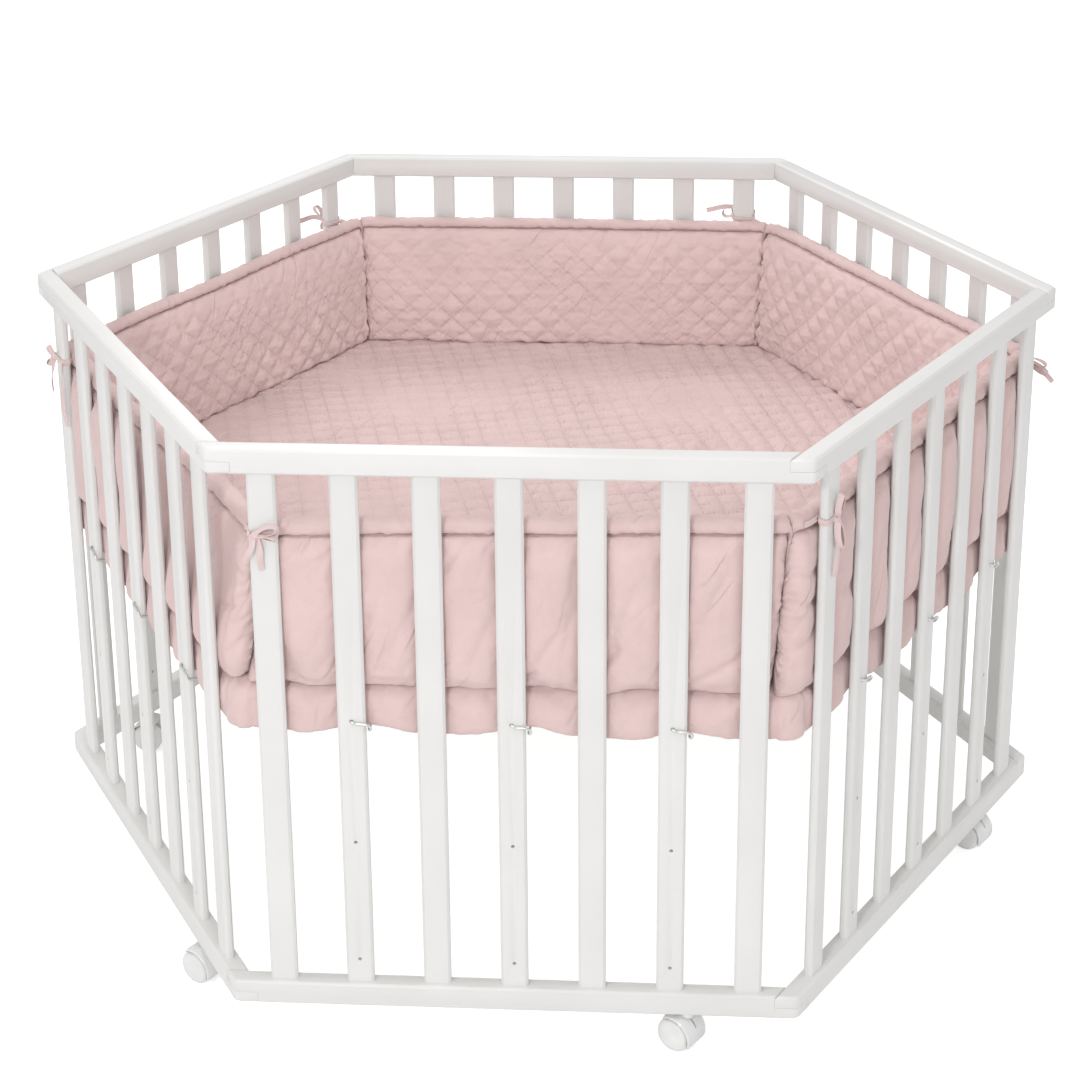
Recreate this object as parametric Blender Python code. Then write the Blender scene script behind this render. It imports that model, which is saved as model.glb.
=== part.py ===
"""A padded play mat in a hexagonal wooden playpen on castors.

Metres, +Z up. The origin is on the floor under the middle of the hexagon. Panel 0 faces -Y, and the
other five follow counter-clockwise, 60 degrees apart. In a panel's own frame x runs along its side,
y is the inset from its outer face towards the middle, and z is the height above the floor.
"""

import math

import bmesh
import bpy
from mathutils import Matrix, Vector

# Playpen frame: six equal panels, each with two rails and seven slats.
SIDES = 6
SIDE_LENGTH = 0.620
APOTHEM = SIDE_LENGTH / 2 / math.tan(math.pi / SIDES)
RAIL_DEPTH = 0.022
RAIL_HEIGHT = 0.028
RAIL_CHAMFER = 0.0025
RAIL_CORNER_RADIUS = 0.007
LAP_GAP = 0.0003
LOWER_RAIL_Z = 0.048
PANEL_HEIGHT = 0.665
UPPER_RAIL_Z = LOWER_RAIL_Z + PANEL_HEIGHT - RAIL_HEIGHT
SLATS = 7
SLAT_PITCH = 0.085
SLAT_WIDTH = 0.030
SLAT_THICKNESS = 0.010
SLAT_CHAMFER = 0.003
SLAT_INSET = (RAIL_DEPTH - SLAT_THICKNESS) / 2
TENON = 0.010

# The odd slats have three holes each; the steel hooks sit in the highest ones and carry the floor.
HOLED_SLATS = (1, 3, 5)
HOLE_HEIGHTS = (0.105, 0.2525, 0.400)
HOLE_RADIUS = 0.0022
WIRE_RADIUS = 0.0015
ARM_Z = 0.386
ARM_OFFSET = 0.0185
ARM_REACH = 0.062

# Floor board, which the arms carry.
FIT = 0.0003
BOARD_THICKNESS = 0.006
BOARD_INSET = 0.034
BOARD_Z = ARM_Z + WIRE_RADIUS + FIT

# Mat: a padded base and six padded walls that bulge out between the slats.
CLEAR_OF_SLATS = 0.002
PINCH_INSET = SLAT_INSET + SLAT_THICKNESS + CLEAR_OF_SLATS
LOBE_DEPTH = 0.0105
LOBE_HALF_WIDTH = (SLAT_PITCH - SLAT_WIDTH) / 2 - CLEAR_OF_SLATS
LOBE_STATION = 0.012
CORNER_INSET = 0.014
CORNER_RADIUS = 0.055
RIM_HIGH_Z = 0.3892
RIM_LOW_Z = 0.3785
RIM_SAG_SPAN = 0.030
MAT_TOP_Z = 0.450
WALL_GAP = 0.0003

# Ribbon ties at the six corners, each round the first slat of its panel.
TIE_WIDTH = 0.007
TIE_THICKNESS = 0.0012
TIE_Z = 0.6165
TIE_FIT = 0.0004

# Castors: a stem in the lower rail, a hood that swivels and a pair of wheels on one axle.
STEM_U = 0.190
STEM_RADIUS = 0.004
COLLAR_RADIUS = 0.0075
STEM_LENGTH = 0.018
BORE_RADIUS = 0.0044
WHEEL_RADIUS = 0.0200
WHEEL_SIDES = 20
AXLE_RADIUS = 0.003
TRAIL = 0.010
CASTOR_WIDTH = 0.036
WEB_WIDTH = 0.007
WHEEL_SPACING = 0.0082
HOOD_CLEARANCE = 0.0012
HOOD_THICKNESS = 0.0022
HOOD_START = math.radians(-38)
HOOD_END = math.radians(150)
CASTOR_HEADINGS = (237, 237, 212, 57, 80, 237)  # where each axle points, in degrees


# ---------------------------------------------------------------- scene and helpers

for old in list(bpy.data.objects):
    bpy.data.objects.remove(old)


def material(name, colour, roughness, metallic=0.0):
    """A Principled BSDF with one colour."""
    made = bpy.data.materials.new(name)
    made.use_nodes = True
    shader = made.node_tree.nodes["Principled BSDF"]
    shader.inputs["Base Color"].default_value = (*colour, 1)
    shader.inputs["Roughness"].default_value = roughness
    shader.inputs["Metallic"].default_value = metallic
    return made


PAINT = material("white paint", (0.86, 0.86, 0.84), 0.35)
STEEL = material("zinc steel", (0.62, 0.64, 0.62), 0.32, 1.0)
PLASTIC = material("white plastic", (0.85, 0.86, 0.88), 0.30)
BOARD = material("painted board", (0.84, 0.84, 0.82), 0.45)
COTTON = material("pink cotton", (0.67, 0.43, 0.41), 0.85)
RIBBON = material("pink ribbon", (0.70, 0.46, 0.44), 0.80)


def mesh_from(bm, name):
    """The closed mesh built in bm, facing outwards."""
    bmesh.ops.recalc_face_normals(bm, faces=bm.faces)
    if bm.calc_volume(signed=True) < 0:
        bmesh.ops.reverse_faces(bm, faces=bm.faces)
    mesh = bpy.data.meshes.new(name)
    bm.to_mesh(mesh)
    bm.free()
    return mesh


def place(name, data, finish, matrix=Matrix(), parent=None):
    """One object of this mesh or curve, at a world matrix. Flat facets stay flat."""
    obj = bpy.data.objects.new(name, data)
    bpy.context.scene.collection.objects.link(obj)
    if not data.materials:
        data.materials.append(finish)
    obj.parent = parent
    obj.matrix_world = matrix
    return obj


def empty(name, matrix):
    obj = bpy.data.objects.new(name, None)
    bpy.context.scene.collection.objects.link(obj)
    obj.matrix_world = matrix
    return obj


def carved(base, steps, name):
    """The mesh after a row of Boolean steps, each an (operation, mesh) pair."""
    target = place("work", base, PAINT)
    tools = []
    for operation, tool_mesh in steps:
        tool = place("tool", tool_mesh, PAINT)
        tools.append(tool)
        step = target.modifiers.new("step", "BOOLEAN")
        step.operation = operation
        step.object = tool
        step.use_self = True
    bpy.context.view_layer.update()
    graph = bpy.context.evaluated_depsgraph_get()
    result = bpy.data.meshes.new_from_object(target.evaluated_get(graph))
    result.name = name
    result.materials.clear()
    for obj in [target, *tools]:
        bpy.data.objects.remove(obj)
    return result


def prism(outline, low, high, name="prism"):
    """A closed prism on an outline of (x, y) points, from z low to z high."""
    bm = bmesh.new()
    bottom = bm.faces.new([bm.verts.new((x, y, low)) for x, y in outline])
    top = bmesh.ops.extrude_face_region(bm, geom=[bottom])
    moved = [v for v in top["geom"] if isinstance(v, bmesh.types.BMVert)]
    bmesh.ops.translate(bm, verts=moved, vec=(0, 0, high - low))
    return mesh_from(bm, name)


def rod(start, end, radius, sides, name="rod"):
    """A closed cylinder between two points, with a flat facet towards -Z where it lies level."""
    start, end = Vector(start), Vector(end)
    bm = bmesh.new()
    bmesh.ops.create_cone(
        bm,
        cap_ends=True,
        segments=sides,
        radius1=radius,
        radius2=radius,
        depth=(end - start).length,
        matrix=Matrix.Rotation(math.pi / sides, 4, "Z"),
    )
    turn = (end - start).to_track_quat("Z", "Y").to_matrix().to_4x4()
    bm.transform(Matrix.Translation((start + end) / 2) @ turn)
    return mesh_from(bm, name)


def lofted(rings, closed_loop, name):
    """A closed skin through rings of points. A loop joins its last ring to its first and is capped
    across its first and last rows, and an open loft is capped at its first and last rings."""
    bm = bmesh.new()
    made = [[bm.verts.new(point) for point in ring] for ring in rings]
    count = len(made[0])
    ring_pairs = list(zip(made, made[1:] + made[:1]))
    if closed_loop:
        rows = range(count - 1)
    else:
        rows = range(count)
        ring_pairs.pop()
    for here, there in ring_pairs:
        for i in rows:
            j = (i + 1) % count
            bm.faces.new((here[i], here[j], there[j], there[i]))
    if closed_loop:
        bm.faces.new([ring[0] for ring in made])
        bm.faces.new([ring[-1] for ring in made])
    else:
        bm.faces.new(made[0])
        bm.faces.new(made[-1])
    bmesh.ops.triangulate(bm, faces=bm.faces)
    return mesh_from(bm, name)


def panel_matrix(index):
    """From a panel's own frame to the world."""
    turn = Matrix.Rotation(index * 2 * math.pi / SIDES, 4, "Z")
    return turn @ Matrix.Translation((0, -APOTHEM, 0))


# ---------------------------------------------------------------- playpen panels

def corner_plane(end):
    """A corner of the panel and the direction into the pen, square to the neighbour's outer face."""
    corner = Vector((end * SIDE_LENGTH / 2, 0))
    return corner, Vector((-end * math.cos(math.pi / 6), math.sin(math.pi / 6)))


def behind_plane(end, inset):
    """An outline that covers everything past a line at this inset from the neighbour's outer face."""
    corner, inward = corner_plane(end)
    along = Vector((-inward.y, inward.x))
    start = corner + inward * inset
    wide, deep = 0.08, 0.12
    return [
        tuple(start - along * wide),
        tuple(start - along * wide - inward * deep),
        tuple(start + along * wide - inward * deep),
        tuple(start + along * wide),
    ]


def hexagon_disc(low, high):
    """The outer shape of all six rails at one height: round corners and soft upper and lower edges."""
    bm = bmesh.new()
    outline = []
    centre_radius = (APOTHEM - RAIL_CORNER_RADIUS) / math.cos(math.pi / SIDES)
    for k in range(SIDES):
        corner = 2 * math.pi * k / SIDES - math.pi / 2 + math.pi / SIDES
        for step in (-1, -1 / 3, 1 / 3, 1):
            turn = corner + step * math.pi / SIDES
            outline.append(
                (
                    centre_radius * math.cos(corner) + RAIL_CORNER_RADIUS * math.cos(turn),
                    centre_radius * math.sin(corner) + RAIL_CORNER_RADIUS * math.sin(turn),
                )
            )
    for z, inset in (
        (low, RAIL_CHAMFER),
        (low + RAIL_CHAMFER, 0),
        (high - RAIL_CHAMFER, 0),
        (high, RAIL_CHAMFER),
    ):
        scale = 1 - inset / APOTHEM
        for x, y in outline:
            bm.verts.new((x * scale, y * scale + APOTHEM, z))
    bmesh.ops.convex_hull(bm, input=bm.verts)
    bmesh.ops.dissolve_limit(bm, angle_limit=0.001, verts=bm.verts, edges=bm.edges)
    return mesh_from(bm, "hexagon")


def rail(low):
    """One rail: half its height laps over the neighbour at one end and under it at the other."""
    high = low + RAIL_HEIGHT
    middle = (low + high) / 2
    over = 0.005
    inner = RAIL_DEPTH - RAIL_CHAMFER - over
    profile = (
        (-over, low - over),
        (inner, low - over),
        (RAIL_DEPTH, low + RAIL_CHAMFER),
        (RAIL_DEPTH, high - RAIL_CHAMFER),
        (inner, high + over),
        (-over, high + over),
    )
    reach = SIDE_LENGTH / 2 + 0.03
    ends = [[(x, y, z) for y, z in profile] for x in (-reach, reach)]
    bar = lofted(ends, False, "bar")
    steps = [("INTERSECT", hexagon_disc(low, high))]
    stop = RAIL_DEPTH + LAP_GAP
    half = LAP_GAP / 2
    steps.append(("DIFFERENCE", prism(behind_plane(-1, stop), low - over, middle + half)))
    steps.append(("DIFFERENCE", prism(behind_plane(1, stop), middle - half, high + over)))
    return carved(bar, steps, "rail")


def slat_u(index):
    return (index - (SLATS - 1) / 2) * SLAT_PITCH


def slat_outline(u, grow):
    """A slat's cross-section with its edges taken off, grown on every side."""
    w = SLAT_WIDTH / 2 + grow
    near, far, c = SLAT_INSET - grow, SLAT_INSET + SLAT_THICKNESS + grow, SLAT_CHAMFER
    return (
        (u - w + c, near),
        (u + w - c, near),
        (u + w, near + c),
        (u + w, far - c),
        (u + w - c, far),
        (u - w + c, far),
        (u - w, far - c),
        (u - w, near + c),
    )


def slat(index):
    """One slat, tenoned into both rails."""
    low = LOWER_RAIL_Z + RAIL_HEIGHT - TENON
    return prism(slat_outline(slat_u(index), 0), low, UPPER_RAIL_Z + TENON, "slat")


def panel_mesh():
    """Rails, slats, hook holes and the castor's bore as one solid."""
    steps = [("UNION", rail(UPPER_RAIL_Z))]
    steps += [("UNION", slat(i)) for i in range(SLATS)]
    for i in HOLED_SLATS:
        for height in HOLE_HEIGHTS:
            u, past = slat_u(i), 0.004
            start = (u, SLAT_INSET - past, height)
            end = (u, SLAT_INSET + SLAT_THICKNESS + past, height)
            steps.append(("DIFFERENCE", rod(start, end, HOLE_RADIUS, 8)))
    bore_top = LOWER_RAIL_Z + STEM_LENGTH + 0.001
    bore = rod((STEM_U, RAIL_DEPTH / 2, 0.03), (STEM_U, RAIL_DEPTH / 2, bore_top), BORE_RADIUS, 12)
    steps.append(("DIFFERENCE", bore))
    return carved(rail(LOWER_RAIL_Z), steps, "panel")


panel_data = panel_mesh()
for k in range(SIDES):
    place(f"playpen_panel_{k + 1}", panel_data, PAINT, panel_matrix(k))


# ---------------------------------------------------------------- hooks

def hook_curve():
    """A bent wire: its pin in the slat's hole, across the outer face, round the edge and inwards."""
    face = SLAT_INSET - WIRE_RADIUS - FIT
    pin_end = SLAT_INSET + SLAT_THICKNESS - 0.0005
    hole = HOLE_HEIGHTS[-1]
    route = (
        (0, pin_end, hole),
        (0, face, hole),
        (0.0165, face, hole - 0.0025),
        (0.0195, face + 0.0016, hole - 0.0095),
        (ARM_OFFSET, 0.0115, ARM_Z),
        (ARM_OFFSET, ARM_REACH, ARM_Z),
    )
    curve = bpy.data.curves.new("hook", "CURVE")
    curve.dimensions = "3D"
    curve.bevel_depth = WIRE_RADIUS
    curve.bevel_resolution = 1
    curve.use_fill_caps = True
    spline = curve.splines.new("POLY")
    spline.points.add(len(route) - 1)
    for point, place_at in zip(spline.points, route):
        point.co = (*place_at, 1)
    return curve


hook_data = hook_curve()
for k in range(SIDES):
    for i in HOLED_SLATS:
        at = panel_matrix(k) @ Matrix.Translation((slat_u(i), 0, 0))
        place(f"floor_hook_{k + 1}{'abc'[HOLED_SLATS.index(i)]}", hook_data, STEEL, at)

# ---------------------------------------------------------------- the mat's outline

CORNER_START = SIDE_LENGTH / 2 - (CORNER_INSET + CORNER_RADIUS) * math.tan(math.pi / SIDES)
CORNER_TURNS = (math.radians(15), math.radians(30), math.radians(-15))


def straight_or_corner(u, turn, inset, z):
    """A point of the mat in a panel's frame: at u along the side, or turned into a round corner."""
    if not turn:
        return Vector((u, inset, z))
    radius = CORNER_RADIUS - (inset - CORNER_INSET)
    across = math.copysign(CORNER_START, turn) + radius * math.sin(turn)
    return Vector((across, CORNER_INSET + CORNER_RADIUS - radius * math.cos(turn), z))


def lobe(offset):
    """How far a lobe stands out at this distance from the middle of its gap, from 0 to 1."""
    return math.sqrt(max(0.0, 1 - (offset / LOBE_HALF_WIDTH) ** 2))


def side_stations(offsets):
    """(u, lobe) along one side: the edges of each slat and these offsets in each gap between."""
    stations = []
    for i in range(SLATS):
        for edge in (-1, 1):
            stations.append((slat_u(i) + edge * (SLAT_WIDTH / 2 + CLEAR_OF_SLATS), 0.0))
    for i in range(SLATS - 1):
        for offset in offsets:
            stations.append((slat_u(i) + SLAT_PITCH / 2 + offset, lobe(offset)))
    return sorted(stations)


def rim_z(u):
    """The lower edge of the base: it lies on the hooks' arms and sags between them."""
    nearest = min(abs(u - slat_u(i) - ARM_OFFSET) for i in HOLED_SLATS)
    lift = math.exp(-((nearest / RIM_SAG_SPAN) ** 2))
    return RIM_LOW_Z + (RIM_HIGH_Z - RIM_LOW_Z) * lift


# ---------------------------------------------------------------- padded base

def base_ring(index, u, turn, bulge):
    """One cross-section of the base's edge, from the board's edge round to the flat top."""
    low = rim_z(u)
    out = PINCH_INSET - LOBE_DEPTH * bulge
    underside = BOARD_Z + BOARD_THICKNESS + FIT
    section = (
        (BOARD_INSET + 0.004, underside),
        (BOARD_INSET - CLEAR_OF_SLATS, underside),
        (BOARD_INSET - CLEAR_OF_SLATS, low + 0.001),
        (0.025, low),
        (out, 0.406),
        (out + 0.003, 0.425),
        (0.0255, 0.4325),
        (0.0560, MAT_TOP_Z),
    )
    frame = panel_matrix(index)
    return [frame @ straight_or_corner(u, turn, inset, z) for inset, z in section]


def base_rings():
    rings = []
    for k in range(SIDES):
        rings += [base_ring(k, u, 0, bulge) for u, bulge in side_stations((0.0,))]
        for turn in CORNER_TURNS:
            panel = k if turn > 0 else k + 1
            rings.append(base_ring(panel, SIDE_LENGTH / 2, turn, 0.55))
    return rings


def board_outline():
    """The floor board's outline, a little inside the mat's hanging edge."""
    points = []
    for k in range(SIDES):
        ends = [straight_or_corner(u, 0, BOARD_INSET, 0) for u in (-CORNER_START, CORNER_START)]
        points += [panel_matrix(k) @ end for end in ends]
        for turn in CORNER_TURNS:
            panel = k if turn > 0 else k + 1
            points.append(panel_matrix(panel) @ straight_or_corner(0, turn, BOARD_INSET, 0))
    return [(point.x, point.y) for point in points]


board = prism(board_outline(), BOARD_Z, BOARD_Z + BOARD_THICKNESS, "floor_board")
place("floor_board", board, BOARD)
place("mat_base", lofted(base_rings(), True, "mat_base"), COTTON)


# ---------------------------------------------------------------- padded walls

def wall_ring(u, turn, bulge):
    """One cross-section of a wall: bulging outer cloth, the tunnel along the top, quilted inside."""
    out = PINCH_INSET - LOBE_DEPTH * bulge
    section = (
        (0.0265, 0.4335),
        (out, 0.4600),
        (out, 0.5750),
        (0.0215, 0.6075),
        (0.0190, 0.6170),
        (0.0290, 0.6265),
        (0.0400, 0.6170),
        (0.0375, 0.6075),
        (0.0480, 0.5900),
        (0.0560, 0.5000),
        (0.0555, 0.4510),
    )
    return [straight_or_corner(u, turn, inset, z) for inset, z in section]


def wall_end(end):
    """The last two rings at a corner, where the wall stops just short of the mitre."""
    shift = Vector((-end * WALL_GAP / math.cos(math.pi / SIDES), 0, 0))
    near = wall_ring(0, end * math.radians(17), 0.6)
    last = [point + shift for point in wall_ring(0, end * math.radians(30), 0.2)]
    return [near, last]


def wall_mesh():
    rings = [wall_ring(u, 0, bulge) for u, bulge in side_stations((-LOBE_STATION, LOBE_STATION))]
    return lofted(wall_end(-1)[::-1] + rings + wall_end(1), False, "wall")


wall_data = wall_mesh()
for k in range(SIDES):
    place(f"mat_wall_{k + 1}", wall_data, COTTON, panel_matrix(k))


# ---------------------------------------------------------------- ribbon ties

# Each row: the knot's place from the slat's middle, then its loops as (angle, length) and its free
# ends as (start, angle, length). Angles are in degrees from +x towards +z.
TIES = (
    (-0.0090, ((20, 0.027), (-8, 0.022)), ((-0.0090, -103, 0.032), (-0.0070, -76, 0.036))),
    (0.0075, ((86, 0.027), (-84, 0.033)), ((0.0085, -70, 0.040), (0.0070, -95, 0.060))),
    (0.0100, ((160, 0.024), (-12, 0.026)), ((0.0090, -125, 0.020), (0.0110, -35, 0.034))),
    (-0.0100, ((158, 0.020), (24, 0.014)), ((-0.0110, 172, 0.034), (-0.0080, -60, 0.022))),
    (-0.0110, ((150, 0.020), (215, 0.018)), ((-0.0120, 190, 0.030), (-0.0100, -110, 0.026))),
    (-0.0150, ((125, 0.014), (-130, 0.018)), ((-0.0160, -106, 0.048), (0.0160, -86, 0.072))),
)


def strip(points, normals, name="strip"):
    """A flat ribbon swept through points. Its width is square to the path and to the normals."""
    rings = []
    for i, (point, normal) in enumerate(zip(points, normals)):
        before, after = points[max(i - 1, 0)], points[min(i + 1, len(points) - 1)]
        along = (after - before).normalized()
        normal = (normal - along * normal.dot(along)).normalized()
        across = along.cross(normal)
        w, t = across * TIE_WIDTH / 2, normal * TIE_THICKNESS / 2
        rings.append([point - w - t, point + w - t, point + w + t, point - w + t])
    return lofted(rings, False, name)


def bow_loop(knot, angle, length):
    """A loop of ribbon that leaves the knot and comes back to it, leaning off the slat's face."""
    out = Vector((math.cos(angle), 0, math.sin(angle)))
    side = Vector((-out.z, 0, out.x))
    bend = ((0, -0.06), (0.45, -0.19), (0.85, -0.15), (1, 0), (0.85, 0.15), (0.45, 0.19), (0, 0.06))
    points, normals = [], []
    for reach, spread in bend:
        lean = Vector((0, -0.0010 - 0.0030 * reach, 0))
        points.append(knot + out * (length * reach) + side * (length * spread) + lean)
        normals.append(side * spread + out * (reach - 0.55))
    return strip(points, normals)


def free_end(start, angle, length):
    """A hanging end, which droops a little and stands off the slat."""
    out = Vector((math.cos(angle), 0, math.sin(angle)))
    points = []
    for step in range(5):
        share = step / 4
        droop = Vector((0, -0.0036 * math.sin(share * 2.6), -0.10 * length * share * share))
        points.append(start + out * (length * share) + droop)
    return strip(points, [Vector((0, -1, 0))] * 5)


def sewn_end():
    """The short run from the turn round the slat to the mat's corner, where it is sewn on."""
    start = -SLAT_WIDTH / 2
    inset = SLAT_INSET + SLAT_THICKNESS + TIE_FIT + TIE_THICKNESS / 2
    points = [
        Vector((start + 0.004, inset, TIE_Z)),
        Vector((start - 0.003, inset + 0.0002, TIE_Z)),
        Vector((start - 0.0135, inset + 0.0009, TIE_Z)),
    ]
    return strip(points, [Vector((0, -1, 0))] * 3)


def tie_mesh(knot_u, loops, ends):
    """The turn round the slat, the knot, the bow and the free ends, cut clear of the slat."""
    face = SLAT_INSET - TIE_FIT - TIE_THICKNESS
    knot = Vector((knot_u, face - 0.0006, TIE_Z))
    bm = bmesh.new()
    bmesh.ops.create_icosphere(bm, subdivisions=1, radius=1)
    bm.transform(Matrix.Translation(knot) @ Matrix.Diagonal((0.0048, 0.0034, 0.0050, 1)))
    turn = slat_outline(0, TIE_FIT + TIE_THICKNESS)
    band = prism(turn, TIE_Z - TIE_WIDTH / 2, TIE_Z + TIE_WIDTH / 2, "band")
    steps = [("UNION", mesh_from(bm, "knot")), ("UNION", sewn_end())]
    steps += [("UNION", bow_loop(knot, math.radians(a), length)) for a, length in loops]
    for u, angle, length in ends:
        start = Vector((u, face + 0.0004, TIE_Z))
        steps.append(("UNION", free_end(start, math.radians(angle), length)))
    room = prism(slat_outline(0, TIE_FIT), TIE_Z - 0.1, UPPER_RAIL_Z, "room_for_slat")
    return carved(band, steps + [("DIFFERENCE", room)], "tie")


for k, row in enumerate(TIES):
    at = panel_matrix(k) @ Matrix.Translation((slat_u(0), 0, 0))
    place(f"ribbon_tie_{k + 1}", tie_mesh(*row), RIBBON, at)


# ---------------------------------------------------------------- castors

def hood_mesh():
    """Stem, top, curved hood and the web that the axle runs through. The stem is at the origin."""
    inner = WHEEL_RADIUS + HOOD_CLEARANCE
    outer = inner + HOOD_THICKNESS
    axle = Vector((-TRAIL, 0, WHEEL_RADIUS))
    half = CASTOR_WIDTH / 2
    steps_round = 9
    rings = []
    for i in range(steps_round + 1):
        turn = HOOD_START + (HOOD_END - HOOD_START) * i / steps_round
        out = Vector((math.cos(turn), 0, math.sin(turn)))
        ring = []
        for radius, y in ((inner, -half), (inner, half), (outer, half), (outer, -half)):
            ring.append(axle + out * radius + Vector((0, y, 0)))
        rings.append(ring)
    hood = lofted(rings, False, "hood")
    web_outline = []
    for i in range(steps_round + 1):
        turn = HOOD_START + 0.05 + (HOOD_END - HOOD_START - 0.10) * i / steps_round
        web_outline.append((math.cos(turn) * (inner + 0.001), math.sin(turn) * (inner + 0.001)))
    web_outline += [(-0.0075, -0.001), (-0.0055, -0.0065), (0.004, -0.0075)]
    web = prism(web_outline, -WEB_WIDTH / 2, WEB_WIDTH / 2, "web")
    web.transform(Matrix.Translation(axle) @ Matrix.Rotation(math.pi / 2, 4, "X"))
    across = Vector((0, CASTOR_WIDTH, 0))
    room = rod(axle - across, axle + across, inner + 0.0011, 40, "room_for_wheels")
    collar = rod((0, 0, 0.030), (0, 0, LOWER_RAIL_Z - FIT), COLLAR_RADIUS, 12, "collar")
    bore = rod(axle - across, axle + across, AXLE_RADIUS + 0.0004, 12)
    steps = [
        ("UNION", web),
        ("UNION", carved(collar, [("DIFFERENCE", room)], "collar")),
        ("UNION", rod((0, 0, 0.0445), (0, 0, LOWER_RAIL_Z + STEM_LENGTH), STEM_RADIUS, 12, "stem")),
        ("DIFFERENCE", bore),
    ]
    return carved(hood, steps, "castor_hood")


def wheels_mesh():
    """Two wheels joined by their axle, turned round +Y, with a flat facet at the bottom."""
    half, inside = CASTOR_WIDTH / 2, WHEEL_SPACING / 2
    rim = WHEEL_RADIUS / math.cos(math.pi / WHEEL_SIDES)
    profile = (
        (-half, 0.0125),
        (-half + 0.003, rim),
        (-inside, rim),
        (-inside, AXLE_RADIUS),
        (inside, AXLE_RADIUS),
        (inside, rim),
        (half - 0.003, rim),
        (half, 0.0125),
    )
    rings = []
    for i in range(WHEEL_SIDES):
        turn = (i + 0.5) * 2 * math.pi / WHEEL_SIDES
        rings.append([(r * math.sin(turn), y, -r * math.cos(turn)) for y, r in profile])
    return lofted(rings, True, "castor_wheels")


hood_data, wheels_data = hood_mesh(), wheels_mesh()
for k in range(SIDES):
    stem = panel_matrix(k) @ Vector((STEM_U, RAIL_DEPTH / 2, 0))
    axle_turn = math.radians(CASTOR_HEADINGS[k] + 90)
    swivel = empty(f"castor_swivel_{k + 1}", Matrix.Translation(stem) @ Matrix.Rotation(axle_turn, 4, "Z"))
    place(f"castor_hood_{k + 1}", hood_data, PLASTIC, swivel.matrix_world, swivel)
    at = swivel.matrix_world @ Matrix.Translation((-TRAIL, 0, WHEEL_RADIUS))
    place(f"castor_wheels_{k + 1}", wheels_data, PLASTIC, at, swivel)
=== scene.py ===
import math

import bmesh
import bpy
from mathutils import Matrix, Vector, noise


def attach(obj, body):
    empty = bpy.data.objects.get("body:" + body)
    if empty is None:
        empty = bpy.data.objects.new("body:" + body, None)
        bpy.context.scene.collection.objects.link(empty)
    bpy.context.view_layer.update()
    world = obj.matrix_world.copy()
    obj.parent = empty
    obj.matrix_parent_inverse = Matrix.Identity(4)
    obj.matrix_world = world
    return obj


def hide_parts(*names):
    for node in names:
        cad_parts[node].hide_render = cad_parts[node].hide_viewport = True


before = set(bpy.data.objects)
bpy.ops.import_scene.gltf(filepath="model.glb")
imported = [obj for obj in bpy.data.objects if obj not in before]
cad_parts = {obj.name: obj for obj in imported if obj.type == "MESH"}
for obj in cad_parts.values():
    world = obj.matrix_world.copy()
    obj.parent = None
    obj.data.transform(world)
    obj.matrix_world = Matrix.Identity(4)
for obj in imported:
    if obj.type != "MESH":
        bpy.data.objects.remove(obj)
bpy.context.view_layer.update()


# ------------------------------------------------------------------ camera
# A long lens at standing height in front of the pen, looking down over the front rail. The
# picture plane is shifted so that the uprights stay nearly parallel.


def added(name, data):
    """A new object in the scene."""
    made = bpy.data.objects.new(name, data)
    bpy.context.scene.collection.objects.link(made)
    return made


lens = bpy.data.cameras.new("studio camera")
lens.sensor_width = 36.0
lens.lens = 82.7
lens.shift_y = -0.22
lens.clip_end = 60.0
camera = added("studio camera", lens)
camera.matrix_world = (
    Matrix.Translation((0.1828, -2.8362, 1.7025))
    @ Matrix.Rotation(math.radians(3.70), 4, "Z")
    @ Matrix.Rotation(math.radians(90 - 19.72), 4, "X")
    @ Matrix.Rotation(math.radians(-0.45), 4, "Z")
)
bpy.context.scene.camera = camera


# ------------------------------------------------------------------ studio
# A white floor under an even white surround, with soft lights above, behind and in front, a little
# to the left, so that folds and slats shade gently downwards and quilting stands out.


def node(tree, kind, links=(), **settings):
    """A shader node with settings, and inputs given as (socket, value or an output to link)."""
    made = tree.nodes.new("ShaderNode" + kind)
    for key, value in settings.items():
        setattr(made, key, value)
    for socket, source in links:
        if isinstance(source, bpy.types.NodeSocket):
            tree.links.new(source, made.inputs[socket])
        else:
            made.inputs[socket].default_value = source
    return made


def mapped(tree, value, from_min, from_max, to_min=0.0, to_max=1.0, **settings):
    """A value moved from one range to another, and held inside it."""
    ends = (("From Min", from_min), ("From Max", from_max), ("To Min", to_min), ("To Max", to_max))
    return node(tree, "MapRange", (("Value", value), *ends), **settings).outputs[0]


def principled(name, colour, roughness, **constants):
    """A new material, its tree and its shader, with constants set on the shader's own sockets."""
    material = bpy.data.materials.new(name)
    material.use_nodes = True
    shader = material.node_tree.nodes["Principled BSDF"]
    shader.inputs["Base Color"].default_value = (*colour, 1)
    shader.inputs["Roughness"].default_value = roughness
    for label, value in constants.items():
        shader.inputs[label.replace("_", " ")].default_value = value
    return material, material.node_tree, shader


def finished(bm, name, material, smooth_below=35):
    """The bmesh as a shaded object."""
    mesh = bpy.data.meshes.new(name)
    bm.to_mesh(mesh)
    bm.free()
    mesh.shade_smooth()
    mesh.set_sharp_from_angle(angle=math.radians(smooth_below))
    mesh.materials.append(material)
    return added(name, mesh)


def glow(tree, socket, unseen, seen):
    """Sets a strength of light: one for the rays that light the pen, one for what the camera sees."""
    direct = node(tree, "LightPath").outputs["Is Camera Ray"]
    tree.links.new(mapped(tree, direct, 0.0, 1.0, unseen, seen), socket)


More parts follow.
